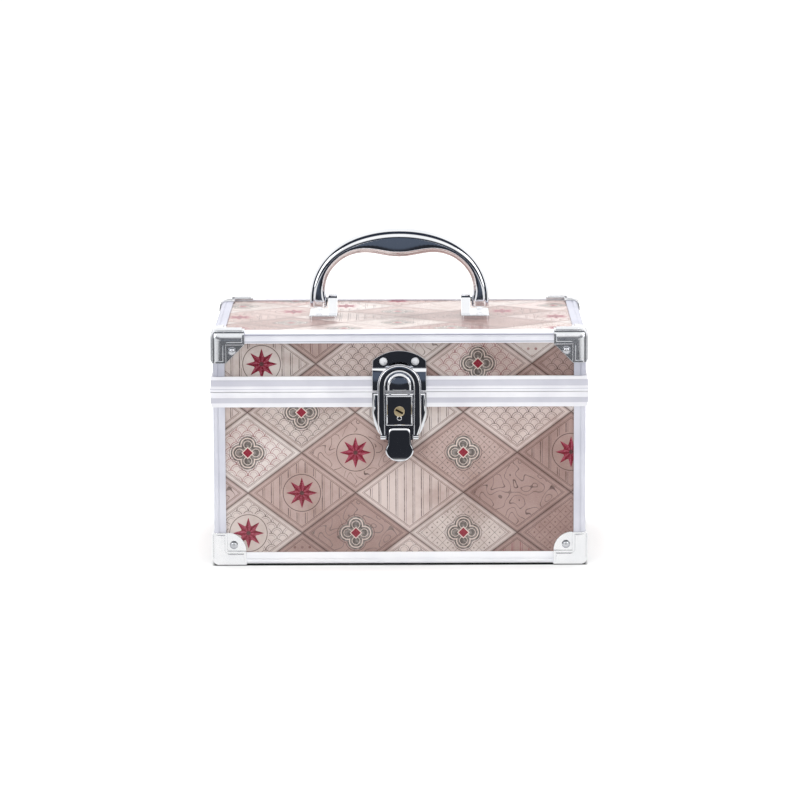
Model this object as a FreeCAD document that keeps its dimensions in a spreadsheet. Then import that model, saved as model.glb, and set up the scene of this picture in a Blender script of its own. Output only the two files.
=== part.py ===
import FreeCAD, Part

import math
import os
import re

import Sketcher

Vector = FreeCAD.Vector
Rotation = FreeCAD.Rotation

# A makeup case: printed boards in an aluminium frame, a hinged lid, a draw latch, a handle and a tray.
# Millimetres. +X is right, the front faces -Y, +Z is up, and the floor is z = 0 under the middle of the case.

SIZES = {
    # frame, over the outer faces of the edge extrusions
    "frame_w": 228.0,
    "frame_d": 153.0,
    "seam_z": 108.0,
    "lid_high": 37.2,
    "seam_gap": 0.3,
    # boards and lining
    "board_t": 3.5,
    "lining_t": 1.0,
    # edge extrusions and corner posts
    "edge_leg": 7.4,
    "edge_wall": 1.2,
    "edge_round": 2.5,
    "groove_at": 3.0,
    "groove_w": 0.5,
    "groove_deep": 0.3,
    # rims that meet at the seam
    "rim_high": 9.4,
    "rim_proud": 1.6,
    "rim_mid_proud": 1.25,
    "rim_low_proud": 1.0,
    "rim_crown": 3.2,
    "rim_belt": 7.0,
    "rim_web": 1.2,
    "rim_inner_high": 8.0,
    "rim_inner_t": 1.3,
    "lip_high": 2.0,
    "lip_gap": 0.4,
    # corner caps
    "cap_sheet": 0.8,
    "cap_leg": 19.7,
    "cap_rivet_at": 12.0,
    "cap_rivet_r": 2.6,
    "cap_rivet_high": 1.4,
    # every rivet and screw
    "shank_r": 1.2,
    "shank_play": 0.05,
    "shank_bite": 2.5,
    # hinges
    "hinge_in": 44.0,
    "hinge_w": 36.0,
    "hinge_leaf_high": 9.2,
    "hinge_leaf_t": 1.2,
    "hinge_barrel_r": 3.0,
    "hinge_pin_r": 1.3,
    "hinge_pin_over": 0.5,
    "hinge_stand": 0.3,
    "hinge_rivet_x": 12.0,
    "hinge_rivet_z": 6.0,
    "hinge_rivet_r": 1.7,
    "hinge_rivet_high": 0.9,
    # every running pivot
    "run_play": 0.05,
    "side_play": 0.3,
    # how far a cutter runs past the face it opens
    "cut_over": 1.0,
    # latch
    "latch_w": 33.0,
    "latch_plate_t": 1.0,
    "strike_up": 25.2,
    "strike_arch_r": 25.0,
    "strike_step_up": 14.5,
    "strike_low": 0.5,
    "strike_rivet_x": 9.7,
    "strike_rivet_up": 18.5,
    "strike_rivet_r": 2.4,
    "strike_rivet_high": 1.2,
    "keeper_w": 14.4,
    "keeper_foot_up": 1.2,
    "keeper_up": 11.6,
    "keeper_high": 1.2,
    "keeper_round": 0.8,
    "base_down": 29.0,
    "base_shoulder_down": 18.0,
    "base_foot_w": 22.0,
    "base_round": 5.0,
    "base_rivet_x": 4.0,
    "base_rivet_down": 23.5,
    "base_rivet_r": 1.8,
    "base_rivet_high": 0.7,
    "lever_w": 16.0,
    "lever_t": 1.2,
    "lever_front": 5.7,
    "lever_top": 1.2,
    "lever_down": 42.2,
    "tab_down": 22.5,
    "tab_rise": 0.6,
    "tab_round": 5.0,
    "flange_t": 1.2,
    "flange_back": 0.8,
    "flange_top": 1.0,
    "lever_pin_down": 2.6,
    "lever_pin_out": 1.7,
    "lever_pin_r": 0.8,
    "ear_r": 1.4,
    "ear_t": 1.5,
    "ear_play": 0.3,
    "hasp_pin_down": 27.5,
    "hasp_pin_out": 2.2,
    "hasp_pin_r": 0.8,
    "hasp_eye_r": 1.6,
    "hasp_eye_w": 2.6,
    "hasp_play": 0.5,
    "hasp_t": 1.4,
    "hasp_back": 1.7,
    "hasp_leg_w": 4.8,
    "hasp_up": 17.4,
    "lock_down": 11.3,
    "lock_r": 3.2,
    "lock_proud": 0.4,
    "lock_long": 3.2,
    "key_slot_w": 0.9,
    "key_slot_long": 4.0,
    "key_slot_deep": 1.6,
    "cam_t": 0.8,
    "cam_w": 2.6,
    "cam_reach": 4.5,
    # handle
    "handle_w": 112.4,
    "handle_rise": 42.8,
    "pivot_rise": 10.5,
    "leg_w": 10.9,
    "leg_deep": 11.0,
    "leg_below": 4.4,
    "arm_thick": 8.0,
    "grip_thick": 16.4,
    "grip_deep": 13.0,
    "leg_flare_deg": 32.0,
    "grip_spread_deg": 20.0,
    "handle_pin_r": 1.45,
    "handle_pin_in": 7.0,
    "handle_side_play": 0.8,
    "bracket_ear_w": 5.8,
    "bracket_ear_r": 3.6,
    "bracket_deep": 34.0,
    "bracket_t": 2.6,
    "bracket_screw_y": 12.5,
    "bracket_screw_r": 2.4,
    "bracket_screw_high": 1.1,
    # mirror
    "mirror_side": 34.0,
    "mirror_end": 28.5,
    "mirror_t": 2.0,
    "mirror_play": 0.1,
    "mirror_lap": 3.0,
    "mirror_frame_w": 5.0,
    "mirror_frame_t": 3.5,
    # tray on its linkage
    "tray_side_gap": 5.3,
    "tray_front_gap": 3.3,
    "tray_back_gap": 22.8,
    "tray_down": 12.0,
    "tray_up": 20.0,
    "tray_wall": 1.6,
    "arm_t": 1.2,
    "arm_w": 9.0,
    "arm_gap": 1.2,
    "arm_fore": 30.0,
    "arm_drop": 16.0,
    "link_fore": 44.0,
    "link_up": 12.0,
    "stud_r": 2.0,
    "stud_head_r": 3.2,
    "stud_head_t": 0.6,
}

# Places that several pieces share, worked out from the sizes
PLACES = {
    "frame_top": "seam_z + lid_high",
    "board_x": "frame_w / 2 - edge_wall",
    "board_y": "frame_d / 2 - edge_wall",
    "inner_x": "frame_w / 2 - edge_wall - board_t",
    "inner_y": "frame_d / 2 - edge_wall - board_t",
    "room_x": "frame_w / 2 - edge_wall - board_t - lining_t",
    "room_y": "frame_d / 2 - edge_wall - board_t - lining_t",
    "floor_z": "cap_sheet + edge_wall",
    "wall_z": "cap_sheet + edge_wall + board_t",
    "wall_top": "seam_z - seam_gap / 2 - rim_web",
    "lid_wall_z": "seam_z + seam_gap / 2 + rim_web",
    "lid_roof_z": "frame_top - edge_wall - board_t",
    "lid_face_z": "frame_top - edge_wall",
    "lid_room_z": "frame_top - edge_wall - board_t - lining_t",
    "body_rivet_z": "cap_sheet + cap_rivet_at",
    "lid_rivet_z": "frame_top - cap_rivet_at",
    "edge_long": "frame_w - 2 * edge_round",
    "edge_short": "frame_d - 2 * edge_leg",
    "rim_y": "frame_d / 2 + rim_proud",
    "rim_bite": "rim_proud + edge_wall",
    "seat_u": "edge_wall + board_t + lining_t",
    "hinge_at": "frame_w / 2 - hinge_in",
    "hinge_y": "frame_d / 2 + rim_proud + hinge_stand + hinge_barrel_r",
    "hinge_grip": "hinge_leaf_t + rim_bite - shank_bite",
    "knuckle": "hinge_w / 6",
    "pin_long": "hinge_w + 2 * hinge_pin_over",
    "plate_y": "rim_y + latch_plate_t",
    "strike_top": "seam_z + strike_up",
    "strike_step_z": "seam_z + strike_step_up",
    "strike_rivet_z": "seam_z + strike_rivet_up",
    "keeper_low": "seam_z + keeper_foot_up",
    "keeper_top": "seam_z + keeper_up",
    "base_top": "seam_z - strike_low",
    "base_shoulder_z": "seam_z - base_shoulder_down",
    "base_low": "seam_z - base_down",
    "base_rivet_z": "seam_z - base_rivet_down",
    "lever_y": "rim_y + lever_front",
    "lever_low": "seam_z - lever_down",
    "tab_top": "seam_z - tab_down",
    "lever_pin_y": "plate_y + lever_pin_out",
    "lever_pin_z": "seam_z - lever_pin_down",
    "flange_x": "lever_w / 2 - flange_t",
    "ear_in_x": "flange_x - ear_play - ear_t",
    "hasp_pin_x": "hasp_in_x + hasp_eye_w",
    "hasp_pin_y": "plate_y + hasp_pin_out",
    "hasp_pin_z": "seam_z - hasp_pin_down",
    "hasp_in_x": "lever_w / 2 + hasp_play",
    "hasp_out_x": "lever_w / 2 + hasp_play + hasp_leg_w",
    "hasp_y": "plate_y + hasp_back",
    "hasp_top": "seam_z + hasp_up",
    "lock_y": "lever_y + lock_proud",
    "lock_z": "seam_z - lock_down",
    "pivot_z": "frame_top - edge_wall + pivot_rise",
    "leg_x": "handle_w / 2 - leg_w",
    "ear_x": "leg_x - handle_side_play - bracket_ear_w",
    "screw_x": "(ear_x + bracket_ear_w + handle_w / 2) / 2",
    "handle_pin": "bracket_ear_w + handle_side_play + handle_pin_in",
    "mirror_w": "frame_w - 2 * mirror_side",
    "mirror_d": "frame_d - 2 * mirror_end",
    "tray_x": "room_x - tray_side_gap",
    "tray_front": "room_y - tray_front_gap",
    "tray_back": "room_y - tray_back_gap",
    "tray_low": "seam_z - tray_down",
    "tray_top": "seam_z + tray_up",
    "tray_divider_x": "tray_x / 3",
    "arm_x": "tray_x + arm_gap",
    "arm_y": "hinge_y - arm_fore",
    "arm_z": "seam_z - arm_drop",
    "link_y": "hinge_y - link_fore",
    "link_z": "seam_z + link_up",
    "tray_y": "hinge_y - link_fore - arm_fore",
    "tray_z": "seam_z + link_up - arm_drop",
    "arm_inner": "arm_x - side_play",
    "arm_outer": "arm_x + arm_t + side_play",
    "seat_x": "room_x + lining_t + shank_bite",
}

doc = FreeCAD.newDocument("makeup_case")
sheet = doc.addObject("Spreadsheet::Sheet", "Sizes")
for row, (alias, number) in enumerate(SIZES.items(), start=1):
    sheet.set(f"A{row}", alias)
    sheet.set(f"B{row}", str(number))
    sheet.setAlias(f"B{row}", alias)
doc.recompute()

nodes = []

TURNS = {
    "+X": Rotation(Vector(0, 1, 0), 90),
    "-X": Rotation(Vector(0, 1, 0), -90),
    "+Y": Rotation(Vector(1, 0, 0), -90),
    "-Y": Rotation(Vector(1, 0, 0), 90),
    "+Z": Rotation(),
    "-Z": Rotation(Vector(1, 0, 0), 180),
}


def size(alias):
    """The number that the sheet holds for one size."""
    return float(sheet.get(alias))


def cells(text):
    """An expression with each place worked out and each size written as its cell in the sheet."""

    def cell(word):
        """What stands for one word."""
        name = word[0]
        if name in PLACES:
            return f"({cells(PLACES[name])})"
        return f"Sizes.{name}" if name in SIZES else name

    return re.sub(r"[a-z]\w*", cell, str(text))


def bind(thing, **texts):
    """Bind properties to expressions."""
    for name, text in texts.items():
        thing.setExpression(name, cells(text))


def place(thing, x=0, y=0, z=0, turn=Rotation()):
    """Turn a piece and bind its position."""
    thing.Placement = FreeCAD.Placement(Vector(), turn)
    for axis, text in (("x", x), ("y", y), ("z", z)):
        thing.setExpression(f"Placement.Base.{axis}", cells(text))
    return thing


def block(name, across, along, upward):
    """A box between two expressions on each axis."""
    box = doc.addObject("Part::Box", name)
    for prop, (low, high) in (("Length", across), ("Width", along), ("Height", upward)):
        box.setExpression(prop, cells(f"({high}) - ({low})"))
    return place(box, across[0], along[0], upward[0])


def rod(name, radius, long, x, y, z, way):
    """A cylinder that starts at a point and runs one way along an axis."""
    cylinder = doc.addObject("Part::Cylinder", name)
    bind(cylinder, Radius=radius, Height=long)
    return place(cylinder, x, y, z, TURNS[way])


def cut(name, base, *tools):
    """A piece with tools taken away."""
    result = doc.addObject("Part::Cut", name)
    result.Base = base
    result.Tool = tools[0] if len(tools) == 1 else group(name + "_tools", tools)
    return result


def fuse(name, *pieces):
    """Pieces joined into one solid."""
    result = doc.addObject("Part::MultiFuse", name)
    result.Shapes = list(pieces)
    result.Refine = True
    return result


def common(name, first, second):
    """What two pieces share."""
    result = doc.addObject("Part::Common", name)
    result.Base = first
    result.Tool = second
    return result


def group(name, pieces):
    """Separate solids under one name."""
    result = doc.addObject("Part::Compound", name)
    result.Links = list(pieces)
    return result


def copy(name, master, x=0, y=0, z=0, turn=Rotation()):
    """A copy of a piece at a place of its own."""
    return place(group(name, [master]), x, y, z, turn)


def rounded(name, base, radius, wanted):
    """A piece with the edges that pass a test rounded."""
    doc.recompute()
    result = doc.addObject("Part::Fillet", name)
    result.Base = base
    edges = [i for i, edge in enumerate(base.Shape.Edges, start=1) if wanted(edge.BoundBox)]
    result.Edges = [(i, radius, radius) for i in edges]
    return result


def node(piece):
    """Keep a finished piece as a sub-part of the case."""
    nodes.append(piece)
    return piece


def outline(body, plane, corners):
    """A closed sketch whose corners are bound to expressions."""
    sketch = body.newObject("Sketcher::SketchObject", body.Name + "_outline")
    support = next(f for f in body.Origin.OriginFeatures if f.Role == plane)
    sketch.AttachmentSupport = [(support, "")]
    sketch.MapMode = "FlatFace"
    count = len(corners)
    start = [Vector(math.cos(math.tau * i / count), math.sin(math.tau * i / count)) for i in range(count)]
    for i in range(count):
        sketch.addGeometry(Part.LineSegment(start[i], start[(i + 1) % count]))
    for i in range(count):
        sketch.addConstraint(Sketcher.Constraint("Coincident", i, 2, (i + 1) % count, 1))
    for i, corner in enumerate(corners):
        for kind, text, value in zip(("DistanceX", "DistanceY"), corner, start[i]):
            held = sketch.addConstraint(Sketcher.Constraint(kind, -1, 1, i, 1, value))
            sketch.setExpression(f"Constraints[{held}]", cells(text))
    return sketch


def padded(name, plane, corners, length):
    """A body padded from an outline on one of its planes."""
    body = doc.addObject("PartDesign::Body", name)
    pad = body.newObject("PartDesign::Pad", name + "_pad")
    pad.Profile = outline(body, plane, corners)
    bind(pad, Length=length)
    doc.recompute()
    return body


def dress(body, radius, wanted):
    """Round the edges of a body that pass a test."""
    last = body.Tip
    fillet = body.newObject("PartDesign::Fillet", body.Name + "_round")
    edges = [f"Edge{i}" for i, edge in enumerate(last.Shape.Edges, start=1) if wanted(edge.BoundBox)]
    fillet.Base = (last, edges)
    bind(fillet, Radius=radius)
    body.Tip = fillet
    return body


def rivet(name, head_r, head_high, grip):
    """A rivet along Z: a domed head above z = 0 and a shank below, through a grip and into its hole."""
    ball_r = f"(({head_r})^2 + ({head_high})^2) / (2 * ({head_high}))"
    ball = doc.addObject("Part::Sphere", name + "_dome")
    bind(ball, Radius=ball_r, Angle1=f"asin(1 - ({head_high}) / ({ball_r}))")
    place(ball, z=f"({head_high}) - {ball_r}")
    shank = rod(name + "_shank", "shank_r", f"({grip}) + shank_bite - shank_play", 0, 0, 0, "-Z")
    return fuse(name, ball, shank)


def drill(name, long, x, y, z, way):
    """The hole for a rivet or a screw."""
    return rod(name, "shank_r + shank_play", long, x, y, z, way)


SIDES = ("front", "right", "back", "left")


def along_side(name, master, side, long, z, flipped=False, deep="0"):
    """A bar's copy on one side of the case: its local Y points inward, and flipped turns it upside down."""
    index = SIDES.index(side)
    turn = Rotation(Vector(0, 0, 1), 90 * index)
    start = f"({long}) / 2" if flipped else f"-({long}) / 2"
    if flipped:
        turn = turn.multiply(Rotation(Vector(0, 1, 0), 180))
    half_x = f"(frame_w / 2 + ({deep}))"
    half_y = f"(frame_d / 2 + ({deep}))"
    spots = {
        "front": (start, f"-{half_y}"),
        "right": (half_x, start),
        "back": (f"-({start})", half_y),
        "left": (f"-{half_x}", f"-({start})"),
    }
    x, y = spots[side]
    return copy(name, master, x, y, z, turn)


# Boards: the floor and the lid's top run under and over the walls, front and back run past the sides

CORNER_SIGNS = ((-1, -1), (1, -1), (1, 1), (-1, 1))


def cap_holes(name, side, z):
    """Two blind holes in a wall for the rivets of the caps at its ends."""
    out = -1 if side in ("front", "left") else 1
    way = {"front": "+Y", "back": "-Y", "left": "+X", "right": "-X"}[side]
    holes = []
    for sign in (-1, 1):
        if side in ("front", "back"):
            x = f"{sign} * (frame_w / 2 - cap_rivet_at)"
            y = f"{out} * board_y"
        else:
            x = f"{out} * board_x"
            y = f"{sign} * (frame_d / 2 - cap_rivet_at)"
        holes.append(drill(f"{name}_hole_{'ab'[sign > 0]}", "shank_bite", x, y, z, way))
    return holes


def wall(name, side, low, high, z_rivet, extra):
    """One upright board with its rivet holes."""
    wide = ("-board_x", "board_x")
    between = ("-inner_y", "inner_y")
    across, along = {
        "front": (wide, ("-board_y", "-inner_y")),
        "back": (wide, ("inner_y", "board_y")),
        "left": (("-board_x", "-inner_x"), between),
        "right": (("inner_x", "board_x"), between),
    }[side]
    board = block(name + "_board", across, along, (low, high))
    return node(cut(name, board, *cap_holes(name, side, z_rivet), *extra))




def latch_holes(name, x, z):
    """Two blind holes in a front board for the rivets of a latch piece."""
    return [
        drill(f"{name}_{'ab'[s > 0]}", "shank_bite", f"{s} * {x}", "-board_y", z, "+Y") for s in (-1, 1)
    ]


base_holes = latch_holes("base_hole", "base_rivet_x", "base_rivet_z")
strike_holes = latch_holes("strike_hole", "strike_rivet_x", "strike_rivet_z")


def stud_hole(name, side, y, z):
    """The seat of a tray stud through the lining and into a side board."""
    out = -1 if side == "left" else 1
    way = "-X" if side == "left" else "+X"
    return rod(name, "stud_r", "lining_t + shank_bite", f"{out} * room_x", y, z, way)


body_holes = {"front": base_holes, "back": []}
lid_holes = {"front": strike_holes, "back": []}
for side in ("left", "right"):
    body_holes[side] = [stud_hole(f"body_stud_seat_{side}", side, "arm_y", "arm_z")]
    lid_holes[side] = [stud_hole(f"lid_stud_seat_{side}", side, "link_y", "link_z")]
for side in SIDES:
    wall(f"body_{side}_panel", side, "wall_z", "wall_top", "body_rivet_z", body_holes[side])
    wall(f"lid_{side}_panel", side, "lid_wall_z", "lid_roof_z", "lid_rivet_z", lid_holes[side])

node(block("body_bottom_panel", ("-board_x", "board_x"), ("-board_y", "board_y"), ("floor_z", "wall_z")))

screw_spots = [(f"{sx} * screw_x", f"{sy} * bracket_screw_y") for sx, sy in CORNER_SIGNS]
screw_holes = [
    drill(f"screw_hole_{i}", "shank_bite", x, y, "lid_face_z", "-Z") for i, (x, y) in enumerate(screw_spots)
]
top_board = block(
    "lid_top_board", ("-board_x", "board_x"), ("-board_y", "board_y"), ("lid_roof_z", "lid_face_z")
)
node(cut("lid_top_panel", top_board, *screw_holes))

# Linings: open boxes against the inner faces of the boards


def lining(name, low, high, open_low, open_high, seats):
    """A thin open box inside the walls."""
    outer = block(name + "_outer", ("-inner_x", "inner_x"), ("-inner_y", "inner_y"), (low, high))
    room = block(name + "_room", ("-room_x", "room_x"), ("-room_y", "room_y"), (open_low, open_high))
    return node(cut(name, cut(name + "_shell", outer, room), *seats))


lining(
    "body_lining", "wall_z", "wall_top", "wall_z + lining_t", "wall_top + lining_t",
    [stud_hole(f"body_lining_seat_{side}", side, "arm_y", "arm_z") for side in ("left", "right")],
)
lining(
    "lid_lining", "lid_wall_z", "lid_roof_z", "lid_wall_z - lining_t", "lid_room_z",
    [stud_hole(f"lid_lining_seat_{side}", side, "link_y", "link_z") for side in ("left", "right")],
)

# Edge extrusions: an angle with a rounded outer corner and a shallow groove along each face

EDGE_SECTION = [
    ("0", "0"),
    ("groove_at", "0"),
    ("groove_at", "groove_deep"),
    ("groove_at + groove_w", "groove_deep"),
    ("groove_at + groove_w", "0"),
    ("edge_leg", "0"),
    ("edge_leg", "edge_wall"),
    ("edge_wall", "edge_wall"),
    ("edge_wall", "edge_leg"),
    ("0", "edge_leg"),
    ("0", "groove_at + groove_w"),
    ("groove_deep", "groove_at + groove_w"),
    ("groove_deep", "groove_at"),
    ("0", "groove_at"),
]
TOUCH = 1e-6


def edge_bar(name, long):
    """A length of the angle extrusion along X, its outer corner on the X axis."""
    bar = padded(name, "YZ_Plane", EDGE_SECTION, long)
    return dress(bar, "edge_round", lambda b: abs(b.YMax) < TOUCH and abs(b.ZMax) < TOUCH)


edge_masters = {"long": edge_bar("edge_long", "edge_long"), "short": edge_bar("edge_short", "edge_short")}
for side in SIDES:
    kind, long = ("long", "edge_long") if side in ("front", "back") else ("short", "edge_short")
    node(along_side(f"body_{side}_edge", edge_masters[kind], side, long, "cap_sheet"))
    node(along_side(f"lid_{side}_edge", edge_masters[kind], side, long, "frame_top", flipped=True))

UPRIGHT = Rotation(Vector(1, 1, 1), 240)


def posts(name, low, high):
    """The four corner posts between an edge extrusion and a rim."""
    master = edge_bar(name + "_master", f"({high}) - ({low})")
    pieces = []
    for i, (sx, sy) in enumerate(CORNER_SIGNS):
        turn = Rotation(Vector(0, 0, 1), 90 * i).multiply(UPRIGHT)
        pieces.append(copy(f"{name}_{i}", master, f"{sx} * frame_w / 2", f"{sy} * frame_d / 2", low, turn))
    return node(group(name, pieces))


posts("body_corner_posts", "cap_sheet + edge_leg", "seam_z - rim_high")
posts("lid_corner_posts", "seam_z + rim_high", "frame_top - edge_leg")

# Rims: mitred channel bars, stepped outside, that hold the boards' ends. The body's rim has an inner lip.

BODY_RIM_SECTION = [
    ("-rim_proud", "-seam_gap / 2"),
    ("-rim_proud", "-rim_crown"),
    ("-rim_mid_proud", "-rim_crown"),
    ("-rim_mid_proud", "-rim_belt"),
    ("-rim_low_proud", "-rim_belt"),
    ("-rim_low_proud", "-rim_high"),
    ("edge_wall", "-rim_high"),
    ("edge_wall", "-seam_gap / 2 - rim_web"),
    ("seat_u", "-seam_gap / 2 - rim_web"),
    ("seat_u", "-rim_inner_high"),
    ("seat_u + rim_inner_t", "-rim_inner_high"),
    ("seat_u + rim_inner_t", "lip_high"),
    ("seat_u + lip_gap", "lip_high"),
    ("seat_u + lip_gap", "-seam_gap / 2"),
]
LID_RIM_SECTION = [
    ("-rim_proud", "seam_gap / 2"),
    ("seat_u", "seam_gap / 2"),
    ("seat_u", "seam_gap / 2 + rim_web"),
    ("edge_wall", "seam_gap / 2 + rim_web"),
    ("edge_wall", "rim_high"),
    ("-rim_low_proud", "rim_high"),
    ("-rim_low_proud", "rim_belt"),
    ("-rim_mid_proud", "rim_belt"),
    ("-rim_mid_proud", "rim_crown"),
    ("-rim_proud", "rim_crown"),
]


def mitred(name, section, frame_long):
    """A bar of a rim along X, centred, with both ends cut at 45 degrees."""
    bar = padded(name + "_bar", "YZ_Plane", section, f"{frame_long} + 2 * rim_proud")
    place(bar, x=f"-{frame_long} / 2 - rim_proud")
    inner = "(seat_u + rim_inner_t)"
    mitre = doc.addObject("Part::Wedge", name + "_mitre")
    bind(
        mitre,
        Ymin="-rim_proud",
        Ymax=inner,
        Xmin=f"-{frame_long} / 2 - rim_proud",
        Xmax=f"{frame_long} / 2 + rim_proud",
        X2min=f"-{frame_long} / 2 + {inner}",
        X2max=f"{frame_long} / 2 - {inner}",
        Zmin="-rim_high",
        Z2min="-rim_high",
        Zmax="rim_high",
        Z2max="rim_high",
    )
    return common(name, bar, mitre)


HINGE_SIGNS = (-1, 1)


def hinge_rivet_spots(up):
    """Where a hinge leaf's rivets go, below the seam or above it."""
    return [
        (f"{h} * hinge_at + {s} * hinge_rivet_x", f"seam_z + {up} * hinge_rivet_z")
        for h in HINGE_SIGNS
        for s in (-1, 1)
    ]




def rim(name, section, up):
    """Four mitred bars around the case, drilled at the back for the hinges."""
    masters = {
        "long": mitred(name + "_long", section, "frame_w"),
        "short": mitred(name + "_short", section, "frame_d"),
    }
    pieces = []
    for side in SIDES:
        kind = "long" if side in ("front", "back") else "short"
        bar = along_side(f"{name}_{side}", masters[kind], side, "0", "seam_z")
        if side == "back":
            holes = [
                drill(f"{name}_hole_{i}", "rim_bite", x, "rim_y", z, "-Y")
                for i, (x, z) in enumerate(hinge_rivet_spots(up))
            ]
            bar = cut(f"{name}_back_drilled", bar, *holes)
        pieces.append(bar)
    return node(group(name, pieces))


rim("body_rim", BODY_RIM_SECTION, -1)
rim("lid_rim", LID_RIM_SECTION, 1)

# Corner caps: pressed sheet over three edges, with a recessed riveted web on the two upright faces


def cap_block(name, low, radius):
    """A cube over the corner with its three outer edges rounded."""
    over = "cap_leg + cap_sheet"
    cube = block(name + "_cube", (low, over), (low, over), (low, over))
    edge = -size("cap_sheet") if low != "0" else 0.0

    def outer(b):
        """True for the three edges that meet at the corner."""
        return sum(abs(limit - edge) < TOUCH for limit in (b.XMax, b.YMax, b.ZMax)) == 2

    return rounded(name, cube, radius, outer)


def cap_web(name, face):
    """The recessed triangle on one upright face, with the step that joins it to the legs."""
    step = ("edge_leg", "edge_leg + cap_sheet")
    reach = ("edge_leg", "cap_leg")
    floor = ("edge_wall - cap_sheet", "edge_wall")
    depth = ("-cap_sheet", "edge_wall")

    def slab(suffix, side, deep, upward):
        """A box on the front face, or the same box turned to the side face."""
        spans = (side, deep) if face == "front" else (deep, side)
        return block(name + suffix, *spans, upward)

    web = fuse(
        name + "_pan",
        slab("_floor", reach, floor, reach),
        slab("_upright", step, depth, reach),
        slab("_level", reach, depth, step),
    )
    corner = doc.addObject("Part::Box", name + "_corner")
    side = "2 * cap_leg"
    bind(corner, Length=side, Width=side, Height=side)
    middle = "(edge_leg + cap_sheet + cap_leg) / 2"
    near = f"{middle} - cap_leg / sqrt(2)"
    far = f"{middle} + cap_leg / sqrt(2)"
    if face == "front":
        place(corner, near, "-cap_leg", far, Rotation(Vector(0, 1, 0), 45))
    else:
        place(corner, "-cap_leg", near, far, Rotation(Vector(1, 0, 0), -45))
    return cut(name, web, corner)


def corner_cap():
    """One cap, its corner at the origin and the case in the positive octant."""
    shell = cut(
        "cap_shell",
        cap_block("cap_outer", "-cap_sheet", size("edge_round") + size("cap_sheet")),
        cap_block("cap_core", "0", size("edge_round")),
    )
    over = "cap_leg + 2 * cap_sheet"
    window = ("edge_leg + cap_sheet", over)
    skin = ("-2 * cap_sheet", "edge_wall")
    ends = [
        block("cap_end_x", ("cap_leg", over), ("-2 * cap_sheet", over), ("-2 * cap_sheet", over)),
        block("cap_end_y", ("-2 * cap_sheet", over), ("cap_leg", over), ("-2 * cap_sheet", over)),
        block("cap_end_z", ("-2 * cap_sheet", over), ("-2 * cap_sheet", over), ("cap_leg", over)),
    ]
    windows = [
        block("cap_window_front", window, skin, window),
        block("cap_window_side", skin, window, window),
        block("cap_window_level", window, window, skin),
    ]
    legs = cut("cap_legs", shell, fuse("cap_openings", *ends, *windows))
    whole = fuse("cap_whole", legs, cap_web("cap_web_front", "front"), cap_web("cap_web_side", "side"))
    at = "cap_rivet_at"
    return cut(
        "cap_master",
        whole,
        drill("cap_hole_front", "edge_wall + cap_sheet", at, "-cap_sheet", at, "+Y"),
        drill("cap_hole_side", "edge_wall + cap_sheet", "-cap_sheet", at, at, "+X"),
    )


cap_master = corner_cap()
cap_rivet = rivet("cap_rivet", "cap_rivet_r", "cap_rivet_high", "cap_sheet")
OVER = Rotation(Vector(1, 1, 0), 180)


def corners(name, z, flipped):
    """Four caps, and the two rivets of each."""
    caps = []
    rivets = []
    for i, (sx, sy) in enumerate(CORNER_SIGNS):
        turn = Rotation(Vector(0, 0, 1), 90 * i)
        turn = turn.multiply(OVER) if flipped else turn
        caps.append(copy(f"{name}_cap_{i}", cap_master, f"{sx} * frame_w / 2", f"{sy} * frame_d / 2", z, turn))
        z_rivet = "lid_rivet_z" if flipped else "body_rivet_z"
        sink = "(edge_wall - cap_sheet)"
        rivets.append(
            copy(
                f"{name}_rivet_y{i}", cap_rivet,
                f"{sx} * (frame_w / 2 - cap_rivet_at)", f"{sy} * (frame_d / 2 - {sink})", z_rivet,
                TURNS["+Y" if sy > 0 else "-Y"],
            )
        )
        rivets.append(
            copy(
                f"{name}_rivet_x{i}", cap_rivet,
                f"{sx} * (frame_w / 2 - {sink})", f"{sy} * (frame_d / 2 - cap_rivet_at)", z_rivet,
                TURNS["+X" if sx > 0 else "-X"],
            )
        )
    node(group(f"{name}_corner_caps", caps))
    node(group(f"{name}_cap_rivets", rivets))


corners("body", "cap_sheet", False)
corners("lid", "frame_top", True)

# Hinges: three knuckles on a pin, the outer two on the body's leaf and the middle one on the lid's



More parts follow.
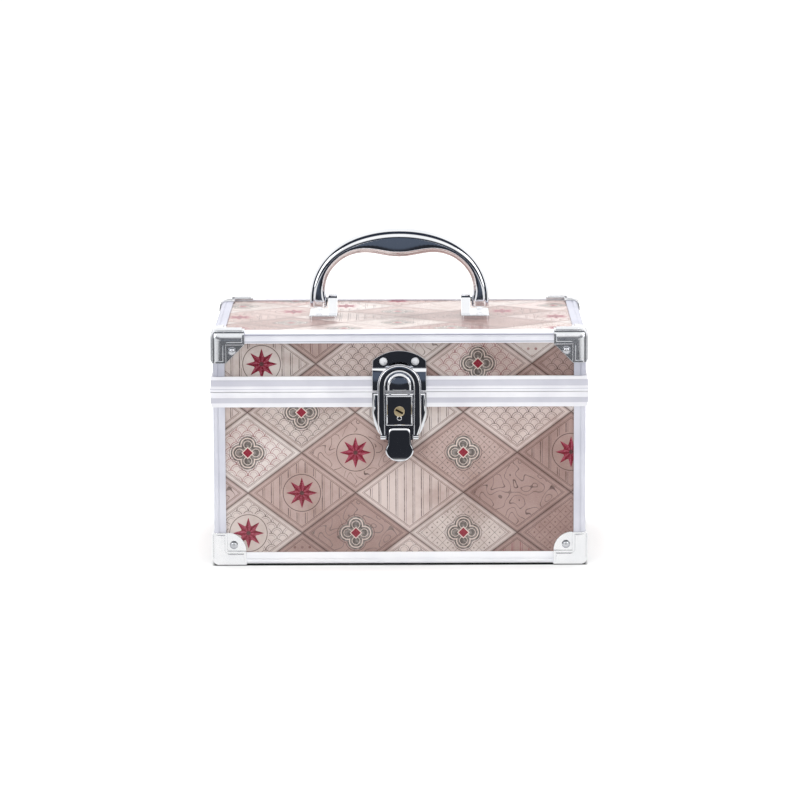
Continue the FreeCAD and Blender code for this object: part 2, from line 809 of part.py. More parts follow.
def hinge_leaf(name, up):
    """One leaf about x = 0 with its knuckles and rivet holes."""
    sign = 1 if up else -1
    z_span = ("seam_z", "seam_z + hinge_leaf_high") if up else ("seam_z - hinge_leaf_high", "seam_z")
    y_span = ("rim_y", "rim_y + hinge_leaf_t")
    plate = block(name + "_plate", ("-hinge_w / 2", "hinge_w / 2"), y_span, z_span)
    clear = "hinge_barrel_r + hinge_stand"
    notch_z = ("seam_z - cut_over", f"seam_z + {clear}") if up else (f"seam_z - {clear}", "seam_z + cut_over")
    inner = "knuckle + side_play / 2"
    short = "knuckle - side_play / 2"
    y_notch = ("rim_y - cut_over", "rim_y + hinge_leaf_t + cut_over")
    if up:
        knuckles = [
            rod(name + "_knuckle", "hinge_barrel_r", f"2 * ({short})", f"-({short})", "hinge_y", "seam_z", "+X"),
        ]
        notches = [
            block(name + "_notch_a", ("-hinge_w", f"-({short})"), y_notch, notch_z),
            block(name + "_notch_b", (short, "hinge_w"), y_notch, notch_z),
        ]
    else:
        long = f"hinge_w / 2 - ({inner})"
        knuckles = [
            rod(name + "_knuckle_a", "hinge_barrel_r", long, "-hinge_w / 2", "hinge_y", "seam_z", "+X"),
            rod(name + "_knuckle_b", "hinge_barrel_r", long, inner, "hinge_y", "seam_z", "+X"),
        ]
        notches = [block(name + "_notch", (f"-({inner})", inner), y_notch, notch_z)]
    joined = fuse(name + "_joined", cut(name + "_notched", plate, *notches), *knuckles)
    bore_r = "hinge_pin_r + run_play" if up else "hinge_pin_r"
    bore = rod(name + "_bore", bore_r, "hinge_w", "-hinge_w / 2", "hinge_y", "seam_z", "+X")
    holes = [
        drill(f"{name}_hole_{'ab'[s > 0]}", "hinge_leaf_t", f"{s} * hinge_rivet_x", "rim_y",
              f"seam_z + {sign} * hinge_rivet_z", "+Y")
        for s in (-1, 1)
    ]
    return cut(name, joined, bore, *holes)


hinge_rivet = rivet("hinge_rivet", "hinge_rivet_r", "hinge_rivet_high", "hinge_grip")
leaf_masters = {"body": hinge_leaf("body_leaf", False), "lid": hinge_leaf("lid_leaf", True)}
for half, up in (("body", -1), ("lid", 1)):
    for sign, hand in zip(HINGE_SIGNS, ("left", "right")):
        node(copy(f"{hand}_hinge_{half}_leaf", leaf_masters[half], f"{sign} * hinge_at"))
    node(group(f"{half}_hinge_rivets", [
        copy(f"{half}_hinge_rivet_{i}", hinge_rivet, x, "rim_y + hinge_leaf_t", z, TURNS["+Y"])
        for i, (x, z) in enumerate(hinge_rivet_spots(up))
    ]))
node(group("hinge_pins", [
    rod(f"hinge_pin_{'ab'[s > 0]}", "hinge_pin_r", "pin_long", f"{s} * hinge_at - (pin_long) / 2", "hinge_y",
        "seam_z", "+X")
    for s in HINGE_SIGNS
]))

# Latch on the middle of the front: strike plate and keeper on the lid, base, lever, hasp and lock on the body



def strike_plate():
    """A joggled plate with an arched top, and the D-shaped keeper that the hasp frames."""
    half = ("-latch_w / 2", "latch_w / 2")
    upper = common(
        "strike_upper",
        block("strike_sheet", half, ("-board_y - latch_plate_t", "-board_y"),
              ("strike_step_z - latch_plate_t", "strike_top")),
        rod("strike_arch", "strike_arch_r", "latch_plate_t", 0, "-board_y", "strike_top - strike_arch_r", "-Y"),
    )
    step = block("strike_step", half, ("-plate_y", "-board_y"),
                 ("strike_step_z - latch_plate_t", "strike_step_z"))
    lower = block("strike_lower", half, ("-plate_y", "-rim_y"), ("seam_z + strike_low", "strike_step_z"))
    front = "plate_y + keeper_high"
    arch_z = "keeper_top - keeper_w / 2"
    dome = fuse(
        "keeper_blank",
        rod("keeper_arch", "keeper_w / 2", f"{front} - rim_y", 0, "-rim_y", arch_z, "-Y"),
        block("keeper_foot", ("-keeper_w / 2", "keeper_w / 2"), (f"-({front})", "-rim_y"),
              ("keeper_low", arch_z)),
    )
    under = block("keeper_under", ("-keeper_w", "keeper_w"), (f"-({front}) - cut_over", "-rim_y + cut_over"),
                  ("keeper_low - keeper_w", "keeper_low"))
    keeper = cut("keeper_trimmed", dome, under)
    doc.recompute()
    foremost = keeper.Shape.BoundBox.YMin
    keeper = rounded("keeper", keeper, size("keeper_round"), lambda b: abs(b.YMax - foremost) < TOUCH)
    joined = fuse("strike_joined", upper, step, lower, keeper)
    holes = [
        drill(f"strike_plate_hole_{'ab'[s > 0]}", "latch_plate_t", f"{s} * strike_rivet_x", "-board_y",
              "strike_rivet_z", "-Y")
        for s in (-1, 1)
    ]
    return node(cut("strike_plate", joined, *holes))


strike_plate()
strike_rivet = rivet("strike_rivet", "strike_rivet_r", "strike_rivet_high", "latch_plate_t")
node(group("strike_rivets", [
    copy(f"strike_rivet_{'ab'[s > 0]}", strike_rivet, f"{s} * strike_rivet_x", "-board_y - latch_plate_t",
         "strike_rivet_z", TURNS["-Y"])
    for s in (-1, 1)
]))



def latch_base():
    """A cast base: a plate over the rim, a foot to the panel below, and two ears for the lever's pin."""
    corners_of_base = [
        ("-latch_w / 2", "base_top"),
        ("-latch_w / 2", "base_shoulder_z"),
        ("-base_foot_w / 2", "base_low"),
        ("base_foot_w / 2", "base_low"),
        ("latch_w / 2", "base_shoulder_z"),
        ("latch_w / 2", "base_top"),
    ]
    cast = padded("latch_base_cast", "XZ_Plane", corners_of_base, "plate_y - board_y")
    below = size("seam_z") - size("base_shoulder_down") + TOUCH
    deep = size("latch_plate_t")
    dress(cast, "base_round", lambda b: b.YLength > deep and b.ZMax < below and b.ZLength < TOUCH)
    place(cast, y="-board_y")
    behind = block("latch_base_rebate", ("-latch_w", "latch_w"), ("-rim_y", "0"),
                   ("seam_z - rim_high - seam_gap", "seam_z"))
    pieces = [cut("latch_base_plate", cast, behind)]
    for s in (-1, 1):
        hand = "ab"[s > 0]
        x = ("ear_in_x", "ear_in_x + ear_t") if s > 0 else ("-ear_in_x - ear_t", "-ear_in_x")
        pieces.append(rod(f"latch_ear_{hand}", "ear_r", "ear_t", x[0], "-lever_pin_y", "lever_pin_z", "+X"))
        pieces.append(block(f"latch_ear_foot_{hand}", x, ("-lever_pin_y", "-plate_y"),
                            ("lever_pin_z - ear_r", "lever_pin_z + ear_r")))
    holes = [
        drill(f"latch_base_hole_{'ab'[s > 0]}", "plate_y - board_y", f"{s} * base_rivet_x", "-plate_y",
              "base_rivet_z", "+Y")
        for s in (-1, 1)
    ]
    bore = rod("latch_ear_bore", "lever_pin_r", "lever_w", "-lever_w / 2", "-lever_pin_y", "lever_pin_z",
               "+X")
    return node(cut("latch_base", fuse("latch_base_joined", *pieces), bore, *holes))


latch_base()
base_rivet = rivet("base_rivet", "base_rivet_r", "base_rivet_high", "plate_y - board_y")
node(group("latch_base_rivets", [
    copy(f"base_rivet_{'ab'[s > 0]}", base_rivet, f"{s} * base_rivet_x", "-plate_y", "base_rivet_z",
         TURNS["-Y"])
    for s in (-1, 1)
]))


def latch_lever():
    """A pressed lever: lock face above, thumb tab below, and two side flanges on the pins."""
    half = "lever_w / 2"
    top = "lever_pin_z + lever_top"
    face = padded(
        "lever_face", "XZ_Plane",
        [(f"-{half}", top), (f"-{half}", "lever_low"), (half, "lever_low"), (half, top)], "lever_t",
    )
    low = size("seam_z") - size("lever_down") + TOUCH
    dress(face, "tab_round", lambda b: b.ZMax < low and b.XLength < TOUCH)
    place(face, y="-lever_y + lever_t")
    tab = padded(
        "lever_tab", "XZ_Plane",
        [(f"-{half}", "tab_top"), (f"-{half}", "lever_low"), (half, "lever_low"), (half, "tab_top")], "tab_rise",
    )
    dress(tab, "tab_round", lambda b: b.ZMax < low and b.XLength < TOUCH)
    place(tab, y="-lever_y")
    back = "-plate_y - flange_back"
    z_span = ("hasp_pin_z - hasp_eye_r", "lever_pin_z + flange_top")
    y_span = ("-lever_y + lever_t / 2", back)
    pieces = [
        face,
        tab,
        block("lever_flange_a", (f"-{half}", "-flange_x"), y_span, z_span),
        block("lever_flange_b", ("flange_x", half), y_span, z_span),
    ]
    bores = [
        rod("lever_pin_bore", "lever_pin_r + run_play", "lever_w", f"-{half}", "-lever_pin_y", "lever_pin_z",
            "+X"),
        rod("lever_hasp_bore", "hasp_pin_r", "lever_w", f"-{half}", "-hasp_pin_y", "hasp_pin_z", "+X"),
        rod("lever_lock_bore", "lock_r + run_play", "lever_t", 0, "-lever_y", "lock_z", "+Y"),
    ]
    return node(cut("latch_lever", fuse("lever_joined", *pieces), *bores))


latch_lever()
node(rod("lever_pin", "lever_pin_r", "lever_w", "-lever_w / 2", "-lever_pin_y", "lever_pin_z", "+X"))



def latch_hasp():
    """A U-shaped loop over the keeper, its two eyes on the hasp pin."""
    arch_z = "(hasp_top - hasp_out_x)"
    ring = cut(
        "hasp_ring",
        rod("hasp_ring_outer", "hasp_out_x", "hasp_t", 0, "-hasp_y", arch_z, "-Y"),
        rod("hasp_ring_inner", "hasp_in_x", "hasp_t", 0, "-hasp_y", arch_z, "-Y"),
        block("hasp_ring_half", ("-2 * hasp_out_x", "2 * hasp_out_x"), ("-hasp_y - hasp_t", "-hasp_y"),
              (f"{arch_z} - 2 * hasp_out_x", arch_z)),
    )
    pieces = [ring]
    for s in (-1, 1):
        hand = "ab"[s > 0]
        x = ("hasp_in_x", "hasp_out_x") if s > 0 else ("-hasp_out_x", "-hasp_in_x")
        eye = "hasp_in_x" if s > 0 else "-hasp_in_x - hasp_eye_w"
        pieces.append(block(f"hasp_leg_{hand}", x, ("-hasp_y - hasp_t", "-hasp_y"), ("hasp_pin_z", arch_z)))
        pieces.append(
            rod(f"hasp_eye_{hand}", "hasp_eye_r", "hasp_eye_w", eye, "-hasp_pin_y", "hasp_pin_z", "+X")
        )
    bore = rod("hasp_bore", "hasp_pin_r + run_play", "2 * hasp_out_x", "-hasp_out_x", "-hasp_pin_y",
               "hasp_pin_z", "+X")
    return node(cut("latch_hasp", fuse("hasp_joined", *pieces), bore))


latch_hasp()
node(rod("hasp_pin", "hasp_pin_r", "2 * hasp_pin_x", "-hasp_pin_x", "-hasp_pin_y", "hasp_pin_z", "+X"))

plug = rod("lock_plug", "lock_r", "lock_long", 0, "-lock_y", "lock_z", "+Y")
key_slot = block("key_slot", ("-key_slot_w / 2", "key_slot_w / 2"), ("-lock_y", "-lock_y + key_slot_deep"),
                 ("lock_z - key_slot_long / 2", "lock_z + key_slot_long / 2"))
node(cut("lock_cylinder", plug, key_slot))
node(block("lock_cam", ("-cam_w / 2", "cam_w / 2"), ("-lock_y + lock_long", "-lock_y + lock_long + cam_t"),
           ("lock_z - cam_w / 2", "lock_z + cam_reach")))

# Handle: an arch with flared legs and a swollen grip, on pins in two brackets

SECTION_POINTS = 12
ARCH_STEPS = 14


def handle_section(degrees, drop=0.0):
    """The handle's section where a ray at this angle meets the arch, or below the arch's end."""
    angle = math.radians(degrees)
    half = size("handle_w") / 2
    rise = size("handle_rise")
    up = min(degrees, 180 - degrees)
    flare = max(0.0, 1 - up / size("leg_flare_deg")) ** 2
    swell = math.exp(-(((90 - up) / size("grip_spread_deg")) ** 2))
    thick = size("arm_thick") + (size("leg_w") - size("arm_thick")) * flare
    thick += (size("grip_thick") - size("arm_thick")) * swell
    deep = size("leg_deep") + (size("grip_deep") - size("leg_deep")) * swell
    normal = Vector(math.cos(angle) / half, 0, math.sin(angle) / rise).normalize()
    middle = Vector(half * math.cos(angle), 0, rise * math.sin(angle) - drop) - normal * (thick / 2)
    points = []
    for i in range(SECTION_POINTS):
        round_angle = math.tau * i / SECTION_POINTS
        across = normal * (thick / 2 * math.cos(round_angle))
        points.append(middle + across + Vector(0, deep / 2 * math.sin(round_angle), 0))
    curve = Part.BSplineCurve()
    curve.interpolate(Points=points, PeriodicFlag=True)
    return Part.Wire(curve.toShape())


def handle():
    """The arch lofted through its sections, with a blind bore for a pin in each leg."""
    below = size("leg_below")
    angles = [180.0 * i / ARCH_STEPS for i in range(ARCH_STEPS + 1)]
    wires = [handle_section(0, below)]
    wires += [handle_section(angle) for angle in angles]
    wires.append(handle_section(180, below))
    arch = doc.addObject("Part::Feature", "handle_arch")
    arch.Shape = Part.makeLoft(wires, True, False)
    place(arch, z="pivot_z")
    radius = "handle_pin_r + run_play"
    long = "leg_w + handle_pin_in"
    bores = [
        rod("handle_bore_a", radius, long, "-leg_x + leg_w", 0, "pivot_z", "-X"),
        rod("handle_bore_b", radius, long, "leg_x - leg_w", 0, "pivot_z", "+X"),
    ]
    return node(cut("handle", arch, *bores))


handle()


def bracket(name, sign):
    """A base plate on the lid with an upright ear beside the handle's leg."""
    ear = ("ear_x", "ear_x + bracket_ear_w")
    plate = ("ear_x", "handle_w / 2")
    if sign < 0:
        ear = (f"-({ear[1]})", f"-{ear[0]}")
        plate = (f"-{plate[1]}", f"-{plate[0]}")
    joined = fuse(
        name + "_joined",
        block(name + "_plate", plate, ("-bracket_deep / 2", "bracket_deep / 2"),
              ("lid_face_z", "lid_face_z + bracket_t")),
        block(name + "_ear", ear, ("-bracket_ear_r", "bracket_ear_r"), ("lid_face_z", "pivot_z")),
        rod(name + "_eye", "bracket_ear_r", "bracket_ear_w", ear[0], 0, "pivot_z", "+X"),
    )
    bore = rod(name + "_bore", "handle_pin_r", "bracket_ear_w", ear[0], 0, "pivot_z", "+X")
    holes = [
        drill(f"{name}_hole_{'ab'[s > 0]}", "bracket_t", f"{sign} * screw_x", f"{s} * bracket_screw_y",
              "lid_face_z", "+Z")
        for s in (-1, 1)
    ]
    return node(cut(name, joined, bore, *holes))


bracket("left_handle_bracket", -1)
bracket("right_handle_bracket", 1)
node(group("handle_pins", [
    rod("handle_pin_a", "handle_pin_r", "handle_pin", "-ear_x", 0, "pivot_z", "-X"),
    rod("handle_pin_b", "handle_pin_r", "handle_pin", "ear_x", 0, "pivot_z", "+X"),
]))
bracket_screw = rivet("bracket_screw", "bracket_screw_r", "bracket_screw_high", "bracket_t")
node(group("bracket_screws", [
    copy(f"bracket_screw_{i}", bracket_screw, x, y, "lid_face_z + bracket_t")
    for i, (x, y) in enumerate(screw_spots)
]))

# Mirror under the lid, held by a rebated frame


def centred(name, wide, deep, low, high):
    """A box centred on the case in X and Y."""
    return block(name, (f"-({wide}) / 2", f"({wide}) / 2"), (f"-({deep}) / 2", f"({deep}) / 2"), (low, high))


node(centred("mirror", "mirror_w", "mirror_d", "lid_room_z - mirror_t", "lid_room_z"))
frame_out = centred("mirror_frame_outer", "mirror_w + 2 * mirror_frame_w", "mirror_d + 2 * mirror_frame_w",
                    "lid_room_z - mirror_frame_t", "lid_room_z")
frame_view = centred("mirror_frame_view", "mirror_w - 2 * mirror_lap", "mirror_d - 2 * mirror_lap",
                     "lid_room_z - mirror_frame_t", "lid_room_z")
frame_rebate = centred("mirror_frame_rebate", "mirror_w + 2 * mirror_play", "mirror_d + 2 * mirror_play",
                       "lid_room_z - mirror_t", "lid_room_z")
node(cut("mirror_frame", frame_out, fuse("mirror_frame_space", frame_view, frame_rebate)))

# Tray: three compartments, pinned to the lid and carried by two arms so that it stays level as the lid opens



def tray():
    """The tray's shell with its pivot bores."""
    shell = block("tray_block", ("-tray_x", "tray_x"), ("-tray_front", "tray_back"), ("tray_low", "tray_top"))
    edges = ["-tray_x + tray_wall / 2", "-tray_divider_x", "tray_divider_x", "tray_x - tray_wall / 2"]
    rooms = [
        block(f"tray_room_{i}", (f"{edges[i]} + tray_wall / 2", f"{edges[i + 1]} - tray_wall / 2"),
              ("-tray_front + tray_wall", "tray_back - tray_wall"), ("tray_low + tray_wall", "tray_top"))
        for i in range(len(edges) - 1)
    ]
    bores = []
    for s in (-1, 1):
        hand = "ab"[s > 0]
        x = "-tray_x" if s < 0 else "tray_x - tray_wall"
        bores.append(rod(f"tray_link_bore_{hand}", "stud_r + run_play", "tray_wall", x, "link_y", "link_z", "+X"))
        bores.append(rod(f"tray_arm_bore_{hand}", "stud_r", "tray_wall", x, "tray_y", "tray_z", "+X"))
    return node(cut("tray", shell, *rooms, *bores))


tray()


def tray_arm():
    """A flat arm with an eye at each end, along X in its own frame."""
    long = "sqrt(link_fore^2 + link_up^2)"
    blank = fuse(
        "arm_blank",
        block("arm_bar", ("0", long), ("-arm_w / 2", "arm_w / 2"), ("0", "arm_t")),
        rod("arm_end_a", "arm_w / 2", "arm_t", 0, 0, 0, "+Z"),
        rod("arm_end_b", "arm_w / 2", "arm_t", long, 0, 0, "+Z"),
    )
    eyes = [
        rod("arm_eye_a", "stud_r + run_play", "arm_t", 0, 0, 0, "+Z"),
        rod("arm_eye_b", "stud_r + run_play", "arm_t", long, 0, 0, "+Z"),
    ]
    return cut("arm_master", blank, *eyes)


arm_master = tray_arm()
reach = Vector(0, -size("link_fore"), size("link_up"))
arm_turn = Rotation(reach, Vector(1, 0, 0).cross(reach), Vector(1, 0, 0), "XZY")
node(copy("left_tray_arm", arm_master, "-arm_x - arm_t", "arm_y", "arm_z", arm_turn))
node(copy("right_tray_arm", arm_master, "arm_x", "arm_y", "arm_z", arm_turn))


def studs(name, y, z, inner, outer, head):
    """A pair of headed studs across the side gap, the head at the inner end or the outer one."""
    pieces = []
    for s in (-1, 1):
        hand = "ab"[s > 0]
        way = "+X" if s > 0 else "-X"
        long = f"({outer}) - ({inner})"
        head_x = f"{inner} - stud_head_t" if head == "inner" else outer
        pieces.append(
            fuse(
                f"{name}_{hand}",
                rod(f"{name}_pin_{hand}", "stud_r", long, f"{s} * ({inner})", y, z, way),
                rod(f"{name}_head_{hand}", "stud_head_r", "stud_head_t", f"{s} * ({head_x})", y, z, way),
            )
        )
    return node(group(name, pieces))


studs("body_tray_studs", "arm_y", "arm_z", "arm_inner", "seat_x", "inner")
studs("lid_tray_studs", "link_y", "link_z", "(tray_x - tray_wall - side_play)", "seat_x", "inner")
studs("tray_arm_studs", "tray_y", "tray_z", "(tray_x - tray_wall)", "arm_outer", "outer")

doc.recompute()
broken = [thing.Name for thing in doc.Objects if "Invalid" in thing.State or "Error" in thing.State]
if broken:
    raise SystemExit(f"not built: {broken}")
os.makedirs("parts", exist_ok=True)
for piece in nodes:
    if piece.Shape.isNull() or not piece.Shape.isValid():
        raise SystemExit(f"no valid solid in {piece.Name}")
for piece in nodes:
    piece.Label = piece.Name
    piece.Shape.exportStep(f"parts/{piece.Label}.step")
    print(piece.Label, len(piece.Shape.Solids), round(piece.Shape.Volume, 1))
print(len(nodes), "nodes")
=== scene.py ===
import logging
import math
from dataclasses import dataclass, field
from enum import Enum
from typing import Any, Callable, ClassVar, Dict, Iterable, List, Optional, Sequence, Tuple

import bmesh
import bpy
from mathutils import Euler, Matrix, Vector


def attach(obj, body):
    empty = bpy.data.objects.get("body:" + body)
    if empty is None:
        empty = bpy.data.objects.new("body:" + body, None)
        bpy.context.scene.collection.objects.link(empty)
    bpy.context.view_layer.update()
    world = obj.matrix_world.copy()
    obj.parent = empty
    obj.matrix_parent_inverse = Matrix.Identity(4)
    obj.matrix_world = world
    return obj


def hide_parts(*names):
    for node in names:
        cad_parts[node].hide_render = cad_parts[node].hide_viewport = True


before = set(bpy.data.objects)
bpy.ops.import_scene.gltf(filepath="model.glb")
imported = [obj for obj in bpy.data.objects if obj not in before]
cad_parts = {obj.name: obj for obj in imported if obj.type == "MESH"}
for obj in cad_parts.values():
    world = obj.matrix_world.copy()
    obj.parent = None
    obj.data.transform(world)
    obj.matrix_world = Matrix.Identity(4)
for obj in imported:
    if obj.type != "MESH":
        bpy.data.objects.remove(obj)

MM = 0.001
# In millimetres: how close is touching, and how far a cutter reaches past what it cuts
TOUCH, PAST = 0.01, 1.0
# The least share of a direction that counts as along an axis, and of a normal as facing the front
STRAIGHT, FACING = 0.9, 0.999
# Heights of the handle's pins and of the lock, in millimetres
PIVOT_Z, LOCK_Z = 154.5, 96.7
PHOTO_SIDE = 800
SENSOR_MM = 36.0
COLOUR, NUMBER, VECTOR = "NodeSocketColor", "NodeSocketFloat", "NodeSocketVector"

log = logging.getLogger("makeup_case")

Colour = Tuple[float, float, float, float]
Point = Tuple[float, float, float]
Span = Tuple[float, float]
Cloud = Tuple[float, float, float]
Step = Tuple[float, float, float, float]
Round = Tuple[float, int]
Material = bpy.types.Material
Socket = bpy.types.NodeSocket
Take = Dict[str, Socket]
Test = Callable[[Vector, Vector], bool]


def ink(code: str) -> Colour:
    """A colour as the renderer reads it.

    Args:
        code: Six hexadecimal digits, as on a screen.

    Returns:
        The linear colour with full opacity.
    """
    shares = [int(code[i:i + 2], 16) / 255 for i in (0, 2, 4)]
    return tuple(s / 12.92 if s <= 0.04045 else ((s + 0.055) / 1.055) ** 2.4 for s in shares) + (1.0,)


class Graph:
    """A node tree, with short calls for the nodes that the finishes are made of."""

    # The places of the mix node's two colours and of its resulting colour
    MIX_FIRST, MIX_SECOND, MIX_RESULT = 6, 7, 2

    def __init__(self, tree: bpy.types.NodeTree) -> None:
        """Keep the tree that the nodes go into."""
        self.tree = tree

    def feed(self, socket: Socket, value: Any) -> None:
        """Give an input what it reads.

        Args:
            socket: The input.
            value: An output to link it to, or a number or colour.
        """
        if isinstance(value, bpy.types.NodeSocket):
            self.tree.links.new(value, socket)
        else:
            socket.default_value = value

    def put(self, kind: str, *values: Any, **settings: Any) -> bpy.types.Node:
        """Add a node.

        Args:
            kind: The node's type, without the common prefix.
            *values: What its first inputs read, in order.
            **settings: Properties of the node.

        Returns:
            The node.
        """
        node = self.tree.nodes.new("ShaderNode" + kind)
        for name, value in settings.items():
            setattr(node, name, value)
        for socket, value in zip(node.inputs, values):
            self.feed(socket, value)
        return node

    def math(self, operation: str, a: Any, b: Any = 0.0) -> Socket:
        """One sum on two values."""
        return self.put("Math", a, b, operation=operation).outputs[0]

    def split(self, vector: Socket) -> List[Socket]:
        """The three parts of a vector."""
        return list(self.put("SeparateXYZ", vector).outputs)

    def join(self, x: Any, y: Any, z: Any = 0.0) -> Socket:
        """A vector from three parts."""
        return self.put("CombineXYZ", x, y, z).outputs[0]

    def fade(self, value: Any, start: float, end: float, low: float = 0.0, high: float = 1.0) -> Socket:
        """A smooth step between a start and an end, which may lie below the start."""
        return self.put("MapRange", value, start, end, low, high, interpolation_type="SMOOTHSTEP").outputs[0]

    def mix(self, share: Any, a: Any, b: Any, blend: str = "MIX") -> Socket:
        """One colour laid over another.

        Args:
            share: How much of the second colour shows.
            a: The first colour.
            b: The second colour.
            blend: How the second colour is laid on.

        Returns:
            The resulting colour.
        """
        node = self.put("Mix", share, data_type="RGBA", blend_type=blend)
        self.feed(node.inputs[self.MIX_FIRST], a)
        self.feed(node.inputs[self.MIX_SECOND], b)
        return node.outputs[self.MIX_RESULT]

    def noise(self, point: Any, scale: float, detail: float = 2.0, roughness: float = 0.5) -> Socket:
        """A cloudy value between 0 and 1."""
        return self.put("TexNoise", point, 0.0, scale, detail, roughness).outputs["Fac"]

    def radius(self, x: Any, y: Any) -> Socket:
        """How far two parts reach from nothing."""
        return self.math("SQRT", self.math("ADD", self.math("MULTIPLY", x, x), self.math("MULTIPLY", y, y)))

    def off_middle(self, value: Any) -> Socket:
        """How far a value is from the middle of its own unit."""
        return self.math("SUBTRACT", self.math("FRACT", value), 0.5)

    def near(self, value: Any, at: Any, within: float) -> Socket:
        """Whether a value lies within a distance of a place."""
        return self.math("LESS_THAN", self.math("ABSOLUTE", self.math("SUBTRACT", value, at)), within)

    def lines(self, value: Any, first: Span, second: Span) -> Socket:
        """Whether a value lies on one of two lines, given by their places and half widths."""
        return self.math("MAXIMUM", self.near(value, *first), self.near(value, *second))

    def rows(self, point: Socket, wide: float, high: float) -> Tuple[Socket, Socket]:
        """Cells in rows, each second row moved on by half a cell.

        Args:
            point: Where to look.
            wide: A cell's width.
            high: A cell's height.

        Returns:
            How far the point lies across from its cell's middle, and up from its foot, as shares of the cell.
        """
        x, y, _ = self.split(point)
        row = self.math("DIVIDE", y, high)
        moved = self.math("MULTIPLY", self.math("FLOORED_MODULO", self.math("FLOOR", row), 2.0), 0.5)
        across = self.math("ADD", self.math("DIVIDE", x, wide), moved)
        return self.off_middle(across), self.math("FRACT", row)

    def steps(self, value: Socket, codes: Sequence[str]) -> Socket:
        """One of several colours.

        Args:
            value: Which one, between 0 and 1.
            codes: The colours, in order.

        Returns:
            The colour.
        """
        node = self.put("ValToRGB", value)
        ramp = node.color_ramp
        ramp.interpolation = "CONSTANT"
        while len(ramp.elements) < len(codes):
            ramp.elements.new(1.0)
        for i, (element, code) in enumerate(zip(ramp.elements, codes)):
            element.position = i / len(codes)
            element.color = ink(code)
        return node.outputs["Color"]

    def place(self, effect: "Effect", **values: Any) -> bpy.types.Node:
        """Use an effect.

        Args:
            effect: The effect.
            **values: What its inputs read, by name.

        Returns:
            The node of its group.
        """
        node = self.put("Group", node_tree=effect.tree())
        for name, value in values.items():
            self.feed(node.inputs[name], value)
        return node


class Effect:
    """A shader node group with named sockets, which one function fills when it is first used."""

    def __init__(self, inputs: Dict[str, str], outputs: Dict[str, str]) -> None:
        """Keep the kinds of socket by name."""
        self.inputs, self.outputs = inputs, outputs
        self.built: Optional[bpy.types.NodeTree] = None

    def __call__(self, fill: Callable[[Graph, Take], Take]) -> "Effect":
        """Take the function that adds the nodes and gives the socket for each output."""
        self.fill = fill
        return self

    def tree(self) -> bpy.types.NodeTree:
        """Build the group, or find the one that is there.

        Returns:
            The group.
        """
        if self.built is None:
            self.built = bpy.data.node_groups.new(self.fill.__name__, "ShaderNodeTree")
            for way, sockets in (("INPUT", self.inputs), ("OUTPUT", self.outputs)):
                for label, kind in sockets.items():
                    self.built.interface.new_socket(label, in_out=way, socket_type=kind)
            enter, leave = (self.built.nodes.new("NodeGroup" + end) for end in ("Input", "Output"))
            results = self.fill(Graph(self.built), {label: enter.outputs[label] for label in self.inputs})
            for label, socket in results.items():
                self.built.links.new(socket, leave.inputs[label])
        return self.built


@Effect({"Point": VECTOR, "Scale": NUMBER, "Dark": COLOUR, "Light": COLOUR, "Low": NUMBER, "High": NUMBER},
        {"Color": COLOUR, "Roughness": NUMBER})
def smudge(g: Graph, take: Take) -> Take:
    """Uneven polish: one size of cloud for the tone, and two for the roughness.

    Args:
        g: Where the nodes go.
        take: The place, the clouds' scale, the two tones and the two values of roughness.

    Returns:
        The colour and the roughness.
    """
    broad_cloud, fine_cloud = (1.0, 3.0, 0.55), (6.0, 2.0, 0.6)
    broad_share, contrast = 0.6, (0.3, 0.7)
    scaled = g.put("VectorMath", take["Point"], operation="SCALE")
    g.feed(scaled.inputs["Scale"], take["Scale"])
    broad, fine = (g.noise(scaled.outputs[0], *cloud) for cloud in (broad_cloud, fine_cloud))
    polish = g.math("ADD", g.math("MULTIPLY", broad, broad_share), g.math("MULTIPLY", fine, 1 - broad_share))
    span = g.math("SUBTRACT", take["High"], take["Low"])
    rough = g.math("ADD", take["Low"], g.math("MULTIPLY", span, g.fade(polish, *contrast)))
    return {"Color": g.mix(g.fade(broad, *contrast), take["Dark"], take["Light"]), "Roughness": rough}


@Effect({"Point": VECTOR}, {"Mark": NUMBER})
def stripes(g: Graph, take: Take) -> Take:
    """Pairs of upright lines, a thick one and a thin one in each pitch.

    Args:
        g: Where the nodes go.
        take: The place.

    Returns:
        Where a line is.
    """
    pitch = 5.2
    thick, thin = (0.4, 0.3 / pitch), (0.62, 0.14 / pitch)
    turn = g.math("FRACT", g.math("DIVIDE", g.split(take["Point"])[0], pitch))
    return {"Mark": g.lines(turn, thick, thin)}


@Effect({"Point": VECTOR}, {"Mark": NUMBER})
def dots(g: Graph, take: Take) -> Take:
    """Round dots in staggered rows.

    Args:
        g: Where the nodes go.
        take: The place.

    Returns:
        Where a dot is.
    """
    pitch, radius, soft = 4.6, 0.85, 0.12
    across, up = g.rows(take["Point"], pitch, pitch)
    out = g.math("MULTIPLY", g.radius(across, g.math("SUBTRACT", up, 0.5)), pitch)
    return {"Mark": g.fade(out, radius + soft, radius - soft)}


@Effect({"Point": VECTOR}, {"Mark": NUMBER})
def trellis(g: Graph, take: Take) -> Take:
    """A lattice of slanted lines with a knot in each window.

    Args:
        g: Where the nodes go.
        take: The place.

    Returns:
        Where a line or a knot is.
    """
    pitch, line, knot = 6.4, 0.2, 0.75
    x, y, _ = g.split(take["Point"])
    offs = [g.off_middle(g.math("DIVIDE", g.math(sign, x, y), pitch)) for sign in ("ADD", "SUBTRACT")]
    to_line = g.math("MAXIMUM", *(g.math("ABSOLUTE", off) for off in offs))
    lines = g.math("GREATER_THAN", to_line, 0.5 - line / pitch)
    return {"Mark": g.math("MAXIMUM", lines, g.math("LESS_THAN", g.radius(*offs), knot / pitch))}


